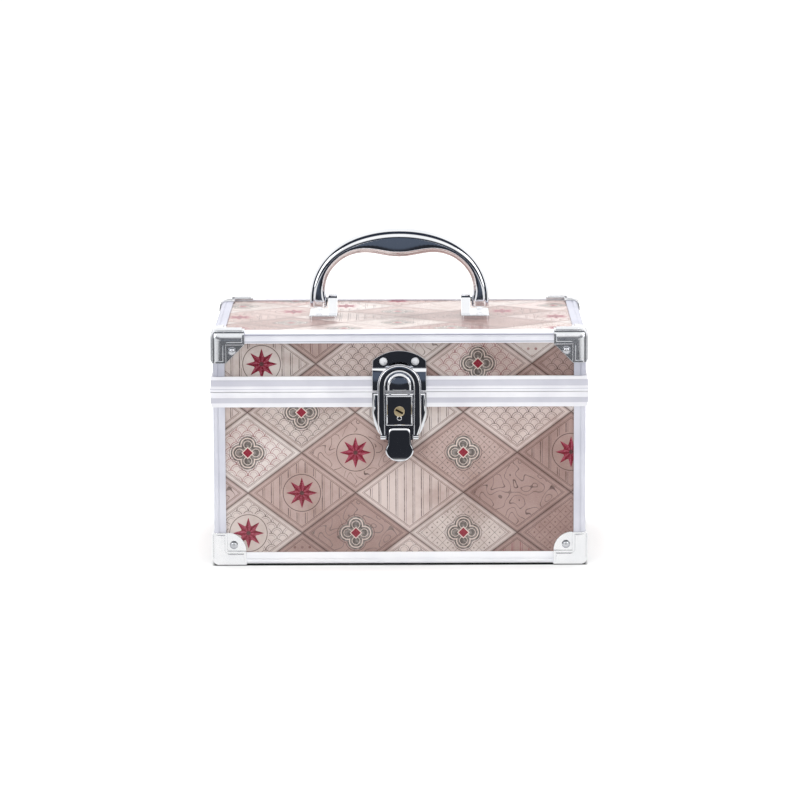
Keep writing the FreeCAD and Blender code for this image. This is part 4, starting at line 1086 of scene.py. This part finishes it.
@dataclass
class CapSwells:
    """The swelled legs of the pressed corner caps: one angle on each outer face."""

    corner: Point = (114.8, 77.3, 146.0)
    start: float = 1.6
    leg: float = 7.7
    long: float = 19.3
    sunk: float = 0.3
    proud: float = -0.15
    outer_round: Round = (3.2, 6)
    inner_round: Round = (1.2, 4)
    web_at: float = 9.0
    web_reach: float = 11.5
    web_deep: Span = (1.15, 2.0)
    web_round: Round = (0.3, 2)
    web_gap: float = 0.05
    reaches: Tuple[float, ...] = (0.35, 0.7, 0.9, 0.9, 0.9, 0.9)
    slopes_deg: Tuple[float, ...] = (32.0, 22.0, 16.0, 12.0, 7.0, 2.0)
    steep: float = 0.12

    def angle(self) -> Bench:
        """One angle, its corner at the origin and its front to -Y, that swells up to its inner edge.

        Returns:
            The angle.
        """
        a, b, far = self.start, self.leg, self.long
        angle = Bench.slab("cap swell", (a, -self.proud, a), (far, self.sunk, b))
        upright = Bench.slab("upright", (a, -self.proud, a), (b, self.sunk, far))
        angle.combine(upright, "UNION").merge(TOUCH).whole()
        for bend, size in ((a, self.outer_round), (b, self.inner_round)):
            angle.bevel(through(lambda at, way: (at - Vector((bend, at.y, bend))).length < TOUCH), *size)
        for reach, slope in zip(self.reaches, self.slopes_deg):
            aside = (reach - self.steep) / 2
            rise = reach * math.tan(math.radians(slope))
            angle.inset(ahead, (reach + self.steep) / 2, rise, (aside, 0, aside))
        return angle

    def web(self) -> Bench:
        """The quarter-round web of a lower cap, in the same place as the angle.

        Returns:
            The web.
        """
        at, reach = self.web_at, self.web_reach
        front, back = self.web_deep
        web = Bench.rod("cap web", (at, front, at), (at, back, at), reach, sides=96)
        end = at + reach + PAST
        quarter = Bench.slab("quarter", (at, front - PAST, at), (end, back + PAST, end))
        return web.combine(quarter, "INTERSECT").merge(self.web_gap).bevel(front_at(front), *self.web_round)

    def build(self, upper: Material, lower: Material) -> None:
        """Copy the angle to every outer face of the caps but the undersides, and the web to the lower ones.

        Args:
            upper: The finish of the lid's caps.
            lower: The finish of the body's caps, a lighter copy of the lid caps' chrome: painted light.
        """
        angle, web = self.angle(), self.web()
        x, y, top = self.corner
        for name, body, z, rises, metal in (
            ("lid_cap_swells", "lid", top, 1, upper),
            ("body_cap_swells", "case_body", 0.0, -1, lower),
        ):
            swells = []
            for sx, sy in ((-1, -1), (-1, 1), (1, -1), (1, 1)):
                ways = [((-sx, 0, 0), (0, 0, -rises), (0, sy, 0)), ((0, -sy, 0), (0, 0, -rises), (sx, 0, 0))]
                if rises > 0:
                    ways.append(((-sx, 0, 0), (0, -sy, 0), (0, 0, 1)))
                for across, up, out in ways:
                    turn = Matrix((across, -Vector(out), up)).transposed().to_4x4()
                    place = Matrix.Translation(Vector((sx * x, sy * y, z)) * MM)
                    swells.append(angle.copied(name, place @ turn))
                    if rises < 0:
                        swells.append(web.copied(name, place @ turn))
            swells[0].join(*swells[1:]).soften().settle(body, "chrome", metal)
        for pattern in (angle, web):
            bpy.data.objects.remove(pattern.piece)


@dataclass
class Frame:
    """The aluminium edges, corner posts and rims, and the chrome caps."""

    bar_edge: float = 0.22
    cap_edge: float = 0.3
    swells: CapSwells = field(default_factory=CapSwells)

    def dress(self) -> None:
        """Give the frame its metals, among them lighter and darker copies of one aluminium and a lighter copy
        of the cap chrome as painted light and shade, and the caps their swells.
        """
        body_edges = [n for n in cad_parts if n.startswith("body") and n.endswith("_edge")]
        # Each group of bars gets its own copy of the aluminium, lighter or darker: painted light and shade.
        for names, metal in (
            (["lid_front_edge", "lid_back_edge"], ALUMINIUM),
            (body_edges, BODY_EDGE_ALUMINIUM_PAINTED_LIGHT),
            (["lid_left_edge", "lid_right_edge", "lid_corner_posts"], LID_ALUMINIUM_PAINTED_SHADE),
            (["body_corner_posts"], BODY_POST_ALUMINIUM_PAINTED_SHADE),
        ):
            Node.dress(names, metal.material(), edge=self.bar_edge)
        Node.dress(["lid_rim", "body_rim"], RIM_ALUMINIUM_PAINTED_SHADE.material())
        # The body's caps get the lighter copy of the cap chrome: painted light.
        upper, lower = STAMPED.material(), BODY_CAP_CHROME_PAINTED_LIGHT.material()
        Node.dress(["lid_corner_caps"], upper, edge=self.cap_edge)
        Node.dress(["body_corner_caps"], lower, edge=self.cap_edge)
        self.swells.build(upper, lower)
        Node.dress(["lid_cap_rivets", "body_cap_rivets"], NICKEL.material())


@dataclass
class Handle:
    """The cast handle: an arch with flared legs and a swollen grip with a flat on its front."""

    half_wide: float = 56.2
    rise: float = 44.7
    square: float = 2.12
    pivot_z: float = PIVOT_Z
    below: float = 4.4
    arm: float = 8.0
    leg: float = 10.9
    grip: float = 17.6
    leg_deep: float = 11.0
    grip_deep: float = 13.0
    flare_deg: float = 32.0
    spread_deg: float = 26.0
    arm_flat: float = 0.5
    leg_flat: float = 3.4
    grip_flat: float = 7.8
    flat_power: float = 1.5
    top_share: float = 0.56
    foot_edge: Round = (0.6, 2)
    pin_bore: float = 1.5
    bore_deep: float = 7.2
    steps: int = 60
    facets: int = 6
    sharp_deg: float = 28.0

    def station(self, degrees: float, drop: float = 0.0) -> Station:
        """One section of the arch.

        Args:
            degrees: Where on the arch.
            drop: How far below the arch's end.

        Returns:
            The section.
        """
        angle = math.radians(degrees)
        up = min(degrees, 180 - degrees)
        flare = max(0.0, 1 - up / self.flare_deg) ** 2
        swell = math.exp(-(((90 - up) / self.spread_deg) ** 2))
        thick = self.arm + (self.leg - self.arm) * flare + (self.grip - self.arm) * swell
        deep = self.leg_deep + (self.grip_deep - self.leg_deep) * swell
        flat = self.arm_flat + (self.leg_flat - self.arm_flat) * flare
        flat += (self.grip_flat - self.arm_flat) * swell ** self.flat_power
        share = 2 / self.square
        x, z = (math.copysign(abs(part) ** share, part) for part in (math.cos(angle), math.sin(angle)))
        slope = (math.copysign(abs(part) ** (self.square - 1), part) for part in (x, z))
        out = Vector(steep / reach for steep, reach in zip(slope, (self.half_wide, self.rise)))
        out = Vector((out.x, 0, out.y)).normalized()
        edge = Vector((self.half_wide * x, 0, self.pivot_z + self.rise * z - drop))
        round_off = thick - flat
        outer = round_off * self.top_share
        return Station(edge - out * (thick / 2), out, thick, deep, ((out, outer), (-out, round_off - outer)))

    def build(self, chrome: Material) -> None:
        """Sweep the arch and bore its legs.

        Args:
            chrome: Its finish.
        """
        arc = [self.station(180.0 * i / self.steps) for i in range(self.steps + 1)]
        stations = [self.station(0, self.below), *arc, self.station(180, self.below)]
        arch = Bench.sweep("cast_handle", stations, self.facets)
        arch.bevel(level_at(self.pivot_z - self.below), *self.foot_edge)
        inner = self.half_wide - self.leg
        for side in (-1, 1):
            start, end = ((side * x, 0, self.pivot_z) for x in (inner - PAST, inner + self.bore_deep))
            arch.bore(start, end, self.pin_bore)
        arch.soften(self.sharp_deg).settle("handle", "chrome", chrome, "handle")


@dataclass
class Brackets:
    """The two cast feet that carry the handle's pins."""

    ear_x: Span = (38.7, 44.5)
    ear_sunk: float = 0.1
    ear_edge: Round = (0.45, 2)
    plate_x: float = 56.2
    plate_y: float = 17.0
    plate_z: Span = (144.0, 146.6)
    plate_round: Round = (2.0, 5)
    plate_edge: Round = (0.5, 3)
    pivot_z: float = PIVOT_Z
    eye: float = 3.6
    eye_share: float = 0.86
    eye_facets: int = 8
    gusset_y: float = 7.2
    pin_bore: float = 1.46

    def build(self, chrome: Material) -> None:
        """Shape the right foot, and the left one from it.

        Args:
            chrome: Their finish.
        """
        low, top = self.plate_z
        inner, outer = self.ear_x
        peak = self.pivot_z + self.eye
        ear = Bench.slab("right_handle_foot", (inner, -self.gusset_y, low + self.ear_sunk),
                         (outer, self.gusset_y, peak))
        narrow = self.eye / self.gusset_y
        ear.stretch(lambda at, way: at.z > self.pivot_z, (1, narrow, 1), (0, 0, self.pivot_z))
        at_peak = level_at(peak)
        ear.bevel(lambda at, way: at_peak(at, way) and abs(way.x) > STRAIGHT,
                  self.eye * self.eye_share, self.eye_facets)
        ear.bevel(lambda at, way: at.z > top + self.ear_sunk, *self.ear_edge)
        ear.bore((inner - PAST, 0, self.pivot_z), (outer + PAST, 0, self.pivot_z), self.pin_bore)
        plate = Bench.slab("plate", (inner, -self.plate_y, low), (self.plate_x, self.plate_y, top))
        plate.bevel(lambda at, way: abs(way.z) > STRAIGHT, *self.plate_round)
        plate.bevel(level_at(top), *self.plate_edge)
        right = ear.join(plate)
        left = right.copied("left_handle_foot", Matrix.Scale(-1, 4, (1, 0, 0)))
        right.soften().settle("lid", "chrome", chrome, "right_handle_bracket")
        left.soften().settle("lid", "chrome", chrome, "left_handle_bracket")


@dataclass
class Latch:
    """The toggle latch: strike plate and keeper on the lid; base, lever and hasp on the body."""

    sharp_deg: float = 34.0
    half_wide: float = 16.5
    board_y: float = -75.3
    rim_y: float = -78.1
    plate_y: float = -79.1
    sheet: float = 1.0
    sheet_edge: Round = (0.35, 2)
    strike_top: float = 133.2
    strike_arch: float = 25.0
    strike_gap: float = 0.45
    strike_step: float = 122.5
    strike_low: float = 109.0
    rim_top: float = 117.6
    fold_high: float = 2.2
    fold_back: float = 0.7
    fold_edge: Round = (0.4, 2)
    keeper_half: float = 7.2
    keeper_z: Span = (109.2, 119.6)
    keeper_high: float = 1.2
    keeper_trim: float = 1.6
    keeper_play: float = 0.02
    keeper_facets: int = 14
    keeper_gap: float = 0.2
    keeper_groove: Tuple[Span, ...] = ((0.45, -0.2), (0.3, 0.2))
    dome_high: float = 0.34
    dome_z: float = 110.4
    dome_rings: int = 10
    base_top: float = 107.5
    base_shoulder: float = 90.0
    base_low: float = 79.0
    base_foot: float = 11.0
    base_foot_round: Round = (5.0, 6)
    base_shoulder_round: Round = (6.0, 4)
    base_rings: Tuple[Span, ...] = ((0.35, 0.965), (0.33, 0.958), (0.17, 0.94))
    rim_low: float = 98.3
    ear_x: Span = (5.0, 6.5)
    ear: float = 1.4
    ear_sunk: float = 0.2
    lever_half: float = 8.0
    lever_y: Span = (-83.8, -82.6)
    lever_top: float = 106.6
    lever_edge: Round = (0.45, 3)
    lock_frame: Tuple[Span, ...] = ((0.9, 0.0), (0.4, -0.45))
    lock_low: float = 88.0
    lock_z: float = LOCK_Z
    lock_bore: float = 3.25
    lock_eye: float = 1.5
    lock_eye_z: float = 92.6
    lock_eye_y: Span = (-83.95, -82.9)
    lock_eye_edge: Round = (0.35, 3)
    lock_eye_sunk: Span = (0.25, -0.3)
    neck_narrower: float = 1.2
    neck_back: float = 0.3
    neck_laps: Span = (1.5, 1.0)
    tab_z: Span = (65.8, 86.4)
    tab_half: Span = (8.6, 6.7)
    tab_front: float = -83.4
    tab_flare: float = 72.8
    tab_middle: float = 72.0
    tab_bend: float = 0.4
    tab_top_round: Round = (2.7, 6)
    tab_waist: Tuple[Span, ...] = ((5.0, 0.15), (3.0, 0.4), (1.5, 0.8))
    tab_turns: int = 9
    tab_end_share: float = 0.1
    tab_rings: Tuple[Span, ...] = ((0.25, 0.97), (0.2, 0.965), (0.1, 0.96))
    flange_x: float = 6.8
    flange_lap: float = 0.2
    flange_back: float = -79.9
    flange_z: Span = (78.9, 106.4)
    lever_pin: Span = (-80.8, 105.4)
    hasp_pin: Span = (-81.3, 80.5)
    pin_bore: float = 0.85
    hasp_in: float = 8.5
    hasp_out: float = 13.3
    hasp_top: float = 125.4
    hasp_y: Span = (-82.3, -80.8)
    hasp_ends: Tuple[Point, ...] = ((81.5, 3.2, 10.1), (82.6, 3.4, 10.2), (85.0, 4.2, 10.6))
    hasp_leg_z: Span = (88.0, 104.0)
    hasp_round: float = 0.92
    hasp_turns: int = 24
    hasp_facets: int = 4
    hasp_eye: float = 1.6
    hasp_eye_wide: float = 3.2
    hasp_eye_edge: Round = (0.3, 2)

    def build(self, chrome: Material) -> None:
        """Shape the four pieces.

        Args:
            chrome: Their finish.
        """
        self.strike().settle("lid", "chrome", chrome, "strike_plate")
        self.base().settle("case_body", "chrome", chrome, "latch_base")
        self.lever().settle("latch_lever", "chrome", chrome, "latch_lever")
        self.hasp().settle("latch_hasp", "chrome", chrome, "latch_hasp")

    def strike(self) -> Bench:
        """A joggled plate with an arched top and a domed keeper.

        Returns:
            The plate with its keeper.
        """
        w = self.half_wide
        front = self.board_y - self.sheet
        upper = Bench.slab("strike_and_keeper", (-w, front, self.strike_step - self.sheet),
                           (w, self.board_y, self.strike_top))
        middle = self.strike_top - self.strike_arch
        start, end = ((0, self.board_y + y, middle) for y in (-2 * PAST, PAST))
        arch = Bench.rod("arch", start, end, self.strike_arch, sides=160)
        upper.combine(arch, "INTERSECT").merge(self.strike_gap).bevel(front_at(front), *self.sheet_edge)
        lower = Bench.slab("lower", (-w, self.plate_y, self.strike_low), (w, self.board_y, self.strike_step))
        lower.cut((-w - PAST, self.rim_y, self.strike_low - PAST), (w + PAST, 0, self.rim_top))
        lower.score(self.strike_step - self.fold_high)
        in_front, at_step = front_at(self.plate_y), level_at(self.strike_step)
        lower.shift(lambda at, way: in_front(at, way) and at_step(at, way), (0, self.fold_back, 0))
        lower.bevel(lambda at, way: in_front(at, way) and abs(way.z) > STRAIGHT, *self.fold_edge)
        return upper.join(lower, self.keeper()).soften(self.sharp_deg)

    def keeper(self) -> Bench:
        """A D-shaped keeper with a groove round its low dome, trimmed straight at its foot.

        Returns:
            The keeper.
        """
        low, high = self.keeper_z
        face = self.plate_y - self.keeper_high
        k = self.keeper_half
        foot = low - self.keeper_trim
        keeper = Bench.slab("keeper", (-k, face, foot), (k, self.rim_y, high))
        keeper.bevel(through(level_at(high)), k - self.keeper_play, self.keeper_facets).merge(self.keeper_gap)
        keeper.bevel(front_at(face), *self.sheet_edge)
        for width, rise in self.keeper_groove:
            keeper.inset(ahead, width, rise)
        keeper.crown(ahead, (0, face, self.dome_z), dome(self.dome_high, self.dome_rings))
        return keeper.cut((-k - PAST, face - 2 * PAST, foot - PAST), (k + PAST, self.rim_y + PAST, low))

    def base(self) -> Bench:
        """A cast base over the body's rim, tapered below, with two ears for the lever's pin.

        Returns:
            The base.
        """
        w = self.half_wide
        front = self.plate_y + sum(rise for rise, _ in self.base_rings)
        at_foot = level_at(self.base_low)
        cast = Bench.slab("cast_latch_base", (-w, front, self.base_low), (w, self.board_y, self.base_top))
        cast.score(self.base_shoulder)
        cast.stretch(at_foot, (self.base_foot / w, 1, 1), (0, 0, self.base_low))
        cast.bevel(through(at_foot), *self.base_foot_round)
        cast.bevel(through(level_at(self.base_shoulder)), *self.base_shoulder_round)
        cast.cut((-w - PAST, self.rim_y, self.rim_low), (w + PAST, 0, self.base_top + PAST))
        cast.crown(ahead, (0, front, (self.base_low + self.base_top) / 2), self.base_rings)
        ears = []
        y, z = self.lever_pin
        for side in (-1, 1):
            near, far = (side * x for x in self.ear_x)
            foot = Bench.slab("ear foot", (min(near, far), y, z - self.ear),
                              (max(near, far), self.plate_y + self.ear_sunk, z + self.ear))
            ear = Bench.rod("ear", (near, y, z), (far, y, z), self.ear, sides=24)
            ears.append(ear.combine(foot, "UNION").merge(TOUCH))
        return cast.join(*ears).soften(self.sharp_deg)

    def lever(self) -> Bench:
        """A pressed lever: a framed lock face with its eye, a neck, a thumb tab and two side flanges.

        Returns:
            The lever.
        """
        w = self.lever_half
        front, back = self.lever_y
        face = Bench.slab("lever_and_thumb_tab", (-w, front, self.lock_low), (w, back, self.lever_top))
        face.bevel(front_at(front), *self.lever_edge)
        for width, rise in self.lock_frame:
            face.inset(ahead, width, rise)
        start, end = ((0, y, self.lock_eye_z) for y in self.lock_eye_y)
        eye = Bench.rod("eye", start, end, self.lock_eye, sides=32)
        eye.bevel(front_at(self.lock_eye_y[0]), *self.lock_eye_edge).inset(ahead, *self.lock_eye_sunk)
        start, end = ((0, y, self.lock_z) for y in (front - PAST, back + PAST))
        face.combine(eye, "UNION").bore(start, end, self.lock_bore, sides=64)
        half = self.tab_half[1] - self.neck_narrower
        below, above = self.neck_laps
        neck = Bench.slab("neck", (-half, front + self.neck_back, self.tab_z[1] - below),
                          (half, back, self.lock_low + above))
        parts = [self.tab(), neck]
        for side in (-1, 1):
            inner, outer = sorted((side * self.flange_x, side * w))
            low, top = self.flange_z
            flange = Bench.slab("flange", (inner, back - self.flange_lap, low),
                                (outer, self.flange_back, top))
            for y, z in (self.hasp_pin, self.lever_pin):
                flange.bore((inner - PAST, y, z), (outer + PAST, y, z), self.pin_bore, sides=24)
            parts.append(flange)
        return face.join(*parts).soften(self.sharp_deg)

    def tab(self) -> Bench:
        """A thumb tab that flares into a round end, bent a little to the front.

        Returns:
            The tab.
        """
        low, top = self.tab_z
        wide, narrow = self.tab_half
        front, back = self.tab_front, self.lever_y[1]
        tab = Bench.slab("tab", (-narrow, front, low), (narrow, back, top))
        tab.bevel(through(level_at(top)), *self.tab_top_round)
        end = self.tab_flare - low
        turns = [math.pi / 2 * i / self.tab_turns for i in range(self.tab_turns)]
        waist = [(self.tab_flare + up, narrow + (wide - narrow) * share) for up, share in self.tab_waist]
        tip = [(self.tab_flare - end * math.sin(turn), wide * math.cos(turn)) for turn in turns]
        for z, _ in waist + tip:
            tab.score(z)
        tip.append((low, wide * self.tab_end_share))
        for z, half in waist + tip:
            tab.stretch(level_at(z), (half / narrow, 1, 1), (0, 0, z))
        tab.crown(ahead, (0, front, self.tab_middle), self.tab_rings)
        for z, _ in tip:
            tab.shift(level_at(z), (0, -self.tab_bend * (self.tab_flare - z) / end, 0))
        return tab

    def hasp_station(self, x: float, z: float, out: Vector, wide: float) -> Station:
        """One half-round section of the hasp.

        Args:
            x: Across, at the middle of the bar.
            z: The height.
            out: The way out of the bend.
            wide: The bar's width.

        Returns:
            The section.
        """
        front, back = self.hasp_y
        deep = back - front
        rounds = ((Vector((0, -1, 0)), deep * self.hasp_round),)
        return Station(Vector((x, (front + back) / 2, z)), out, wide, deep, rounds)

    def hasp(self) -> Bench:
        """A half-round loop over the keeper, with its ends drawn in to the pin.

        Returns:
            The hasp.
        """
        wide = self.hasp_out - self.hasp_in
        mid = self.hasp_in + wide / 2
        spring = self.hasp_top - self.hasp_out
        right = Vector((1, 0, 0))
        leg = [*self.hasp_ends, *((z, wide, mid) for z in self.hasp_leg_z)]
        stations = [self.hasp_station(x, z, right, w) for z, w, x in leg]
        for i in range(self.hasp_turns + 1):
            angle = math.pi * i / self.hasp_turns
            out = Vector((math.cos(angle), 0, math.sin(angle)))
            stations.append(self.hasp_station(mid * out.x, spring + mid * out.z, out, wide))
        stations += [self.hasp_station(-x, z, -right, w) for z, w, x in reversed(leg)]
        loop = Bench.sweep("hasp_loop", stations, self.hasp_facets)
        y, z = self.hasp_pin
        eyes = []
        for side in (-1, 1):
            near, far = side * self.hasp_in, side * (self.hasp_in + self.hasp_eye_wide)
            eye = Bench.rod("eye", (near, y, z), (far, y, z), self.hasp_eye, sides=32)
            eye.bevel(lambda at, way: abs(abs(at.x) - abs(far)) < TOUCH, *self.hasp_eye_edge)
            start, end = ((x, y, z) for x in (near - side * PAST, far + side * PAST))
            eyes.append(eye.bore(start, end, self.pin_bore, sides=24))
        return loop.join(*eyes).soften(self.sharp_deg)


@dataclass
class Lock:
    """The brass plug of the lock, with a turned rim and a slanted keyway."""

    radius: float = 3.2
    middle: float = LOCK_Z
    reach: Span = (-84.2, -81.0)
    edge: Round = (0.25, 3)
    rim: float = 0.5
    groove: float = 0.15
    key: Point = (5.0, 2.6, 1.3)
    key_edge: Round = (0.3, 2)
    slant_deg: float = 28.0

    def build(self, brass: Material) -> None:
        """Turn the plug and cut its keyway.

        Args:
            brass: Its finish.
        """
        front, back = self.reach
        start, end = ((0, y, self.middle) for y in (front, back))
        plug = Bench.rod("brass_lock_plug", start, end, self.radius, sides=72)
        plug.bevel(front_at(front), *self.edge)
        plug.inset(ahead, self.rim).inset(ahead, self.groove, -self.groove)
        wide, deep, high = self.key
        way = Bench.slab("keyway", (-wide / 2, -PAST, -high / 2), (wide / 2, deep, high / 2))
        way.bevel(lambda at, way: abs(way.y) > STRAIGHT, *self.key_edge)
        turn = Matrix.Rotation(math.radians(self.slant_deg), 4, "Y")
        way.piece.data.transform(Matrix.Translation(Vector((0, front, self.middle)) * MM) @ turn)
        plug.combine(way, "DIFFERENCE").soften().settle("lock_plug", "brass", brass, "lock_cylinder")


@dataclass
class Fittings:
    """Hinges, latch, handle, mirror and tray."""

    handle: Handle = field(default_factory=Handle)
    brackets: Brackets = field(default_factory=Brackets)
    latch: Latch = field(default_factory=Latch)
    lock: Lock = field(default_factory=Lock)

    def dress(self) -> None:
        """Make the handle, the latch and the lock, and give the fittings their metals and plastics."""
        chrome, steel, brass = CHROME.material(), STEEL.material(), BRASS.material()
        for fitting in (self.handle, self.brackets, self.latch):
            fitting.build(chrome)
        self.lock.build(brass)
        Node.dress(["strike_plate", "latch_base", "latch_lever", "latch_hasp", "handle",
                    "left_handle_bracket", "right_handle_bracket"], chrome, smooth=False)
        Node.dress([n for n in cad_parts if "hinge" in n or "arm" in n or n.endswith("studs")], steel)
        Node.dress(["latch_base_rivets", "lever_pin", "hasp_pin", "handle_pins", "lock_cam"], steel)
        Node.dress(["strike_rivets", "bracket_screws"], ZINC.material())
        Node.dress(["lock_cylinder"], brass)
        Node.dress(["body_lining", "lid_lining"], FLOCK.material(), smooth=False)
        Node.dress(["tray", "mirror_frame"], PLASTIC.material())
        Node.dress(["mirror"], MIRROR.material(), smooth=False)


@dataclass
class Studio:
    """A pale floor, soft light and the camera, in metres from the middle of the case's foot."""

    floor_side: float = 12.0
    floor_drop: float = 0.0001
    hub: float = 0.015
    pale_from: Span = (0.3, 0.6)
    pale: Span = (0.82, 0.93)
    # Where the floor's painted shadow lies beneath the case's foot, and its colour.
    painted_shadow_x: Span = (0.113, 0.116)
    painted_shadow_y: Span = (0.075, 0.078)
    painted_shadow: Colour = (0.05, 0.05, 0.05, 1)
    lift_from: Span = (0.25, 0.9)
    lift: float = 0.32
    # The floor's painted reflection: its glow, and the dark colours in front of the case and far off.
    glow: Colour = (0.96, 0.96, 0.96, 1)
    dim_from: Span = (-0.26, -0.44)
    dim_wide: Span = (0.5, 0.35)
    dim: Colour = (0.022, 0.024, 0.03, 1)
    far_from: Span = (-1.15, -1.35)
    far: Colour = (0.09, 0.11, 0.15, 1)
    flag_from: Span = (0.55, 0.75)
    flag_front: Span = (-0.7, -0.58)
    flag_back: Span = (0.1, -0.05)
    room_front: Span = (-0.68, -0.88)
    room_top: Span = (0.3, 0.14)
    room: Colour = (0.025, 0.03, 0.045, 1)
    white: Colour = (1, 1, 1, 1)
    soft_light: float = 0.79
    mirrored_light: float = 1.1
    lamp_size: Span = (1.0, 1.4)
    lamp_aim: Point = (0.0, 0.0, 0.08)
    top_lamp: Tuple[Point, float] = ((0.0, 0.1, 2.2), 48.0)
    side_lamp: Tuple[Point, float] = ((1.6, -1.5, 0.9), 7.0)
    camera_at: Point = (0.00595, -2.5315, 0.4984)
    pitch_deg: float = 9.156
    yaw_deg: float = 0.13
    roll_deg: float = -0.219
    focal_px: float = 4071.7

    def build(self) -> None:
        """Set up floor, world, lamps and camera."""
        self.lay_floor()
        self.light_world()
        self.hang_lamps()
        self.set_camera()
        bpy.context.scene.view_settings.view_transform = "Standard"

    def lay_floor(self) -> None:
        """A wide pale floor with a painted shadow beneath the case's foot; farther off it is paler and glows
        for the camera alone; in reflections alone it shows a painted reflection, a glow that is dark in front
        of the case and at its sides.
        """
        bpy.ops.object.select_all(action="DESELECT")
        bpy.ops.mesh.primitive_plane_add(size=self.floor_side, location=(0, 0, -self.floor_drop))
        floor = bpy.context.active_object
        floor.name = "floor"
        material, g, shader, here = blank("floor")
        g.tree.nodes.remove(shader)
        x, y, _ = g.split(here)
        wide, deep = g.math("ABSOLUTE", x), g.math("ABSOLUTE", y)
        squares = g.math("ADD", g.math("MULTIPLY", x, x), g.math("MULTIPLY", y, y))
        out = g.math("SQRT", g.math("ADD", squares, self.hub))
        pale = g.fade(out, *self.pale_from, *self.pale)
        # Beneath the case's foot the floor's colour is dark: a painted shadow.
        outside_painted_shadow = g.math("MAXIMUM", g.fade(wide, *self.painted_shadow_x), g.fade(deep, *self.painted_shadow_y))
        matte = g.put("BsdfDiffuse", g.mix(outside_painted_shadow, self.painted_shadow, g.join(pale, pale, pale)))
        lift = g.put("Emission", self.white, g.fade(out, *self.lift_from, 0.0, self.lift))
        lit = g.put("AddShader", matte.outputs[0], lift.outputs[0])
        # For reflections alone the floor glows white, dark in front of the case and at its sides: a painted
        # reflection.
        flags = g.math("MULTIPLY", self.flags(g, g.math("DIVIDE", y, out)), g.fade(out, *self.flag_from))
        dim = g.math("MULTIPLY", g.fade(y, *self.dim_from), g.fade(wide, *self.dim_wide))
        shade = g.mix(g.fade(y, *self.far_from), self.dim, self.far)
        glow = g.put("Emission", g.mix(g.math("MAXIMUM", dim, flags), self.glow, shade))
        rays = g.put("LightPath")
        seen = g.put("MixShader", rays.outputs["Is Camera Ray"], matte.outputs[0], lit.outputs[0])
        mirrored = g.put("MixShader", rays.outputs["Is Glossy Ray"], seen.outputs[0], glow.outputs[0])
        g.feed(g.tree.nodes["Material Output"].inputs["Surface"], mirrored.outputs[0])
        floor.data.materials.append(material)

    def flags(self, g: Graph, y: Socket) -> Socket:
        """How dark the flags at the sides and above are, by how far back a direction points."""
        return g.math("MULTIPLY", g.fade(y, *self.flag_front), g.fade(y, *self.flag_back))

    def light_world(self) -> None:
        """White all round, with a dark room low in front that the polished metal mirrors."""
        world = bpy.data.worlds.new("studio")
        world.use_nodes = True
        bpy.context.scene.world = world
        g = Graph(world.node_tree)
        back = g.tree.nodes["Background"]
        _, y, z = g.split(g.put("TexCoord").outputs["Generated"])
        glossy = g.put("LightPath").outputs["Is Glossy Ray"]
        room = g.math("MULTIPLY", g.fade(y, *self.room_front), g.fade(z, *self.room_top))
        dark = g.math("MULTIPLY", g.math("MAXIMUM", room, self.flags(g, y)), glossy)
        g.feed(back.inputs["Color"], g.mix(dark, self.white, self.room))
        g.feed(back.inputs["Strength"], g.fade(glossy, 0.0, 1.0, self.soft_light, self.mirrored_light))

    def hang_lamps(self) -> None:
        """A wide soft box overhead, and one at each side in front."""
        (x, y, z), side_power = self.side_lamp
        for name, place, power in (
            ("top soft box", *self.top_lamp),
            ("left soft box", (-x, y, z), side_power),
            ("right soft box", (x, y, z), side_power),
        ):
            lamp = bpy.data.lights.new(name, "AREA")
            lamp.shape = "RECTANGLE"
            lamp.size, lamp.size_y = self.lamp_size
            lamp.energy = power
            holder = bpy.data.objects.new(name, lamp)
            holder.location = place
            aim = Vector(self.lamp_aim) - Vector(place)
            holder.rotation_euler = aim.to_track_quat("-Z", "Y").to_euler()
            holder.visible_camera = False
            holder.visible_glossy = name != "top soft box"
            bpy.context.scene.collection.objects.link(holder)

    def set_camera(self) -> None:
        """The photograph's view."""
        lens = bpy.data.cameras.new("camera")
        lens.sensor_width = SENSOR_MM
        lens.lens = self.focal_px * SENSOR_MM / PHOTO_SIDE
        camera = bpy.data.objects.new("camera", lens)
        camera.location = self.camera_at
        tilt = Euler((math.radians(90 - self.pitch_deg), 0, 0)).to_matrix()
        yaw = Euler((0, 0, math.radians(self.yaw_deg))).to_matrix()
        roll = Euler((0, 0, math.radians(self.roll_deg))).to_matrix()
        camera.rotation_euler = (yaw @ tilt @ roll).to_euler()
        bpy.context.scene.collection.objects.link(camera)
        bpy.context.scene.camera = camera


def main() -> None:
    """Dress the case, light it and keep its size."""
    logging.basicConfig(level=logging.INFO)
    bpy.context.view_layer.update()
    for assembly in (Boards(), Frame(), Fittings()):
        assembly.dress()
        log.info("dressed %s", type(assembly).__name__)
    Studio().build()


if __name__ == "__main__":
    main()
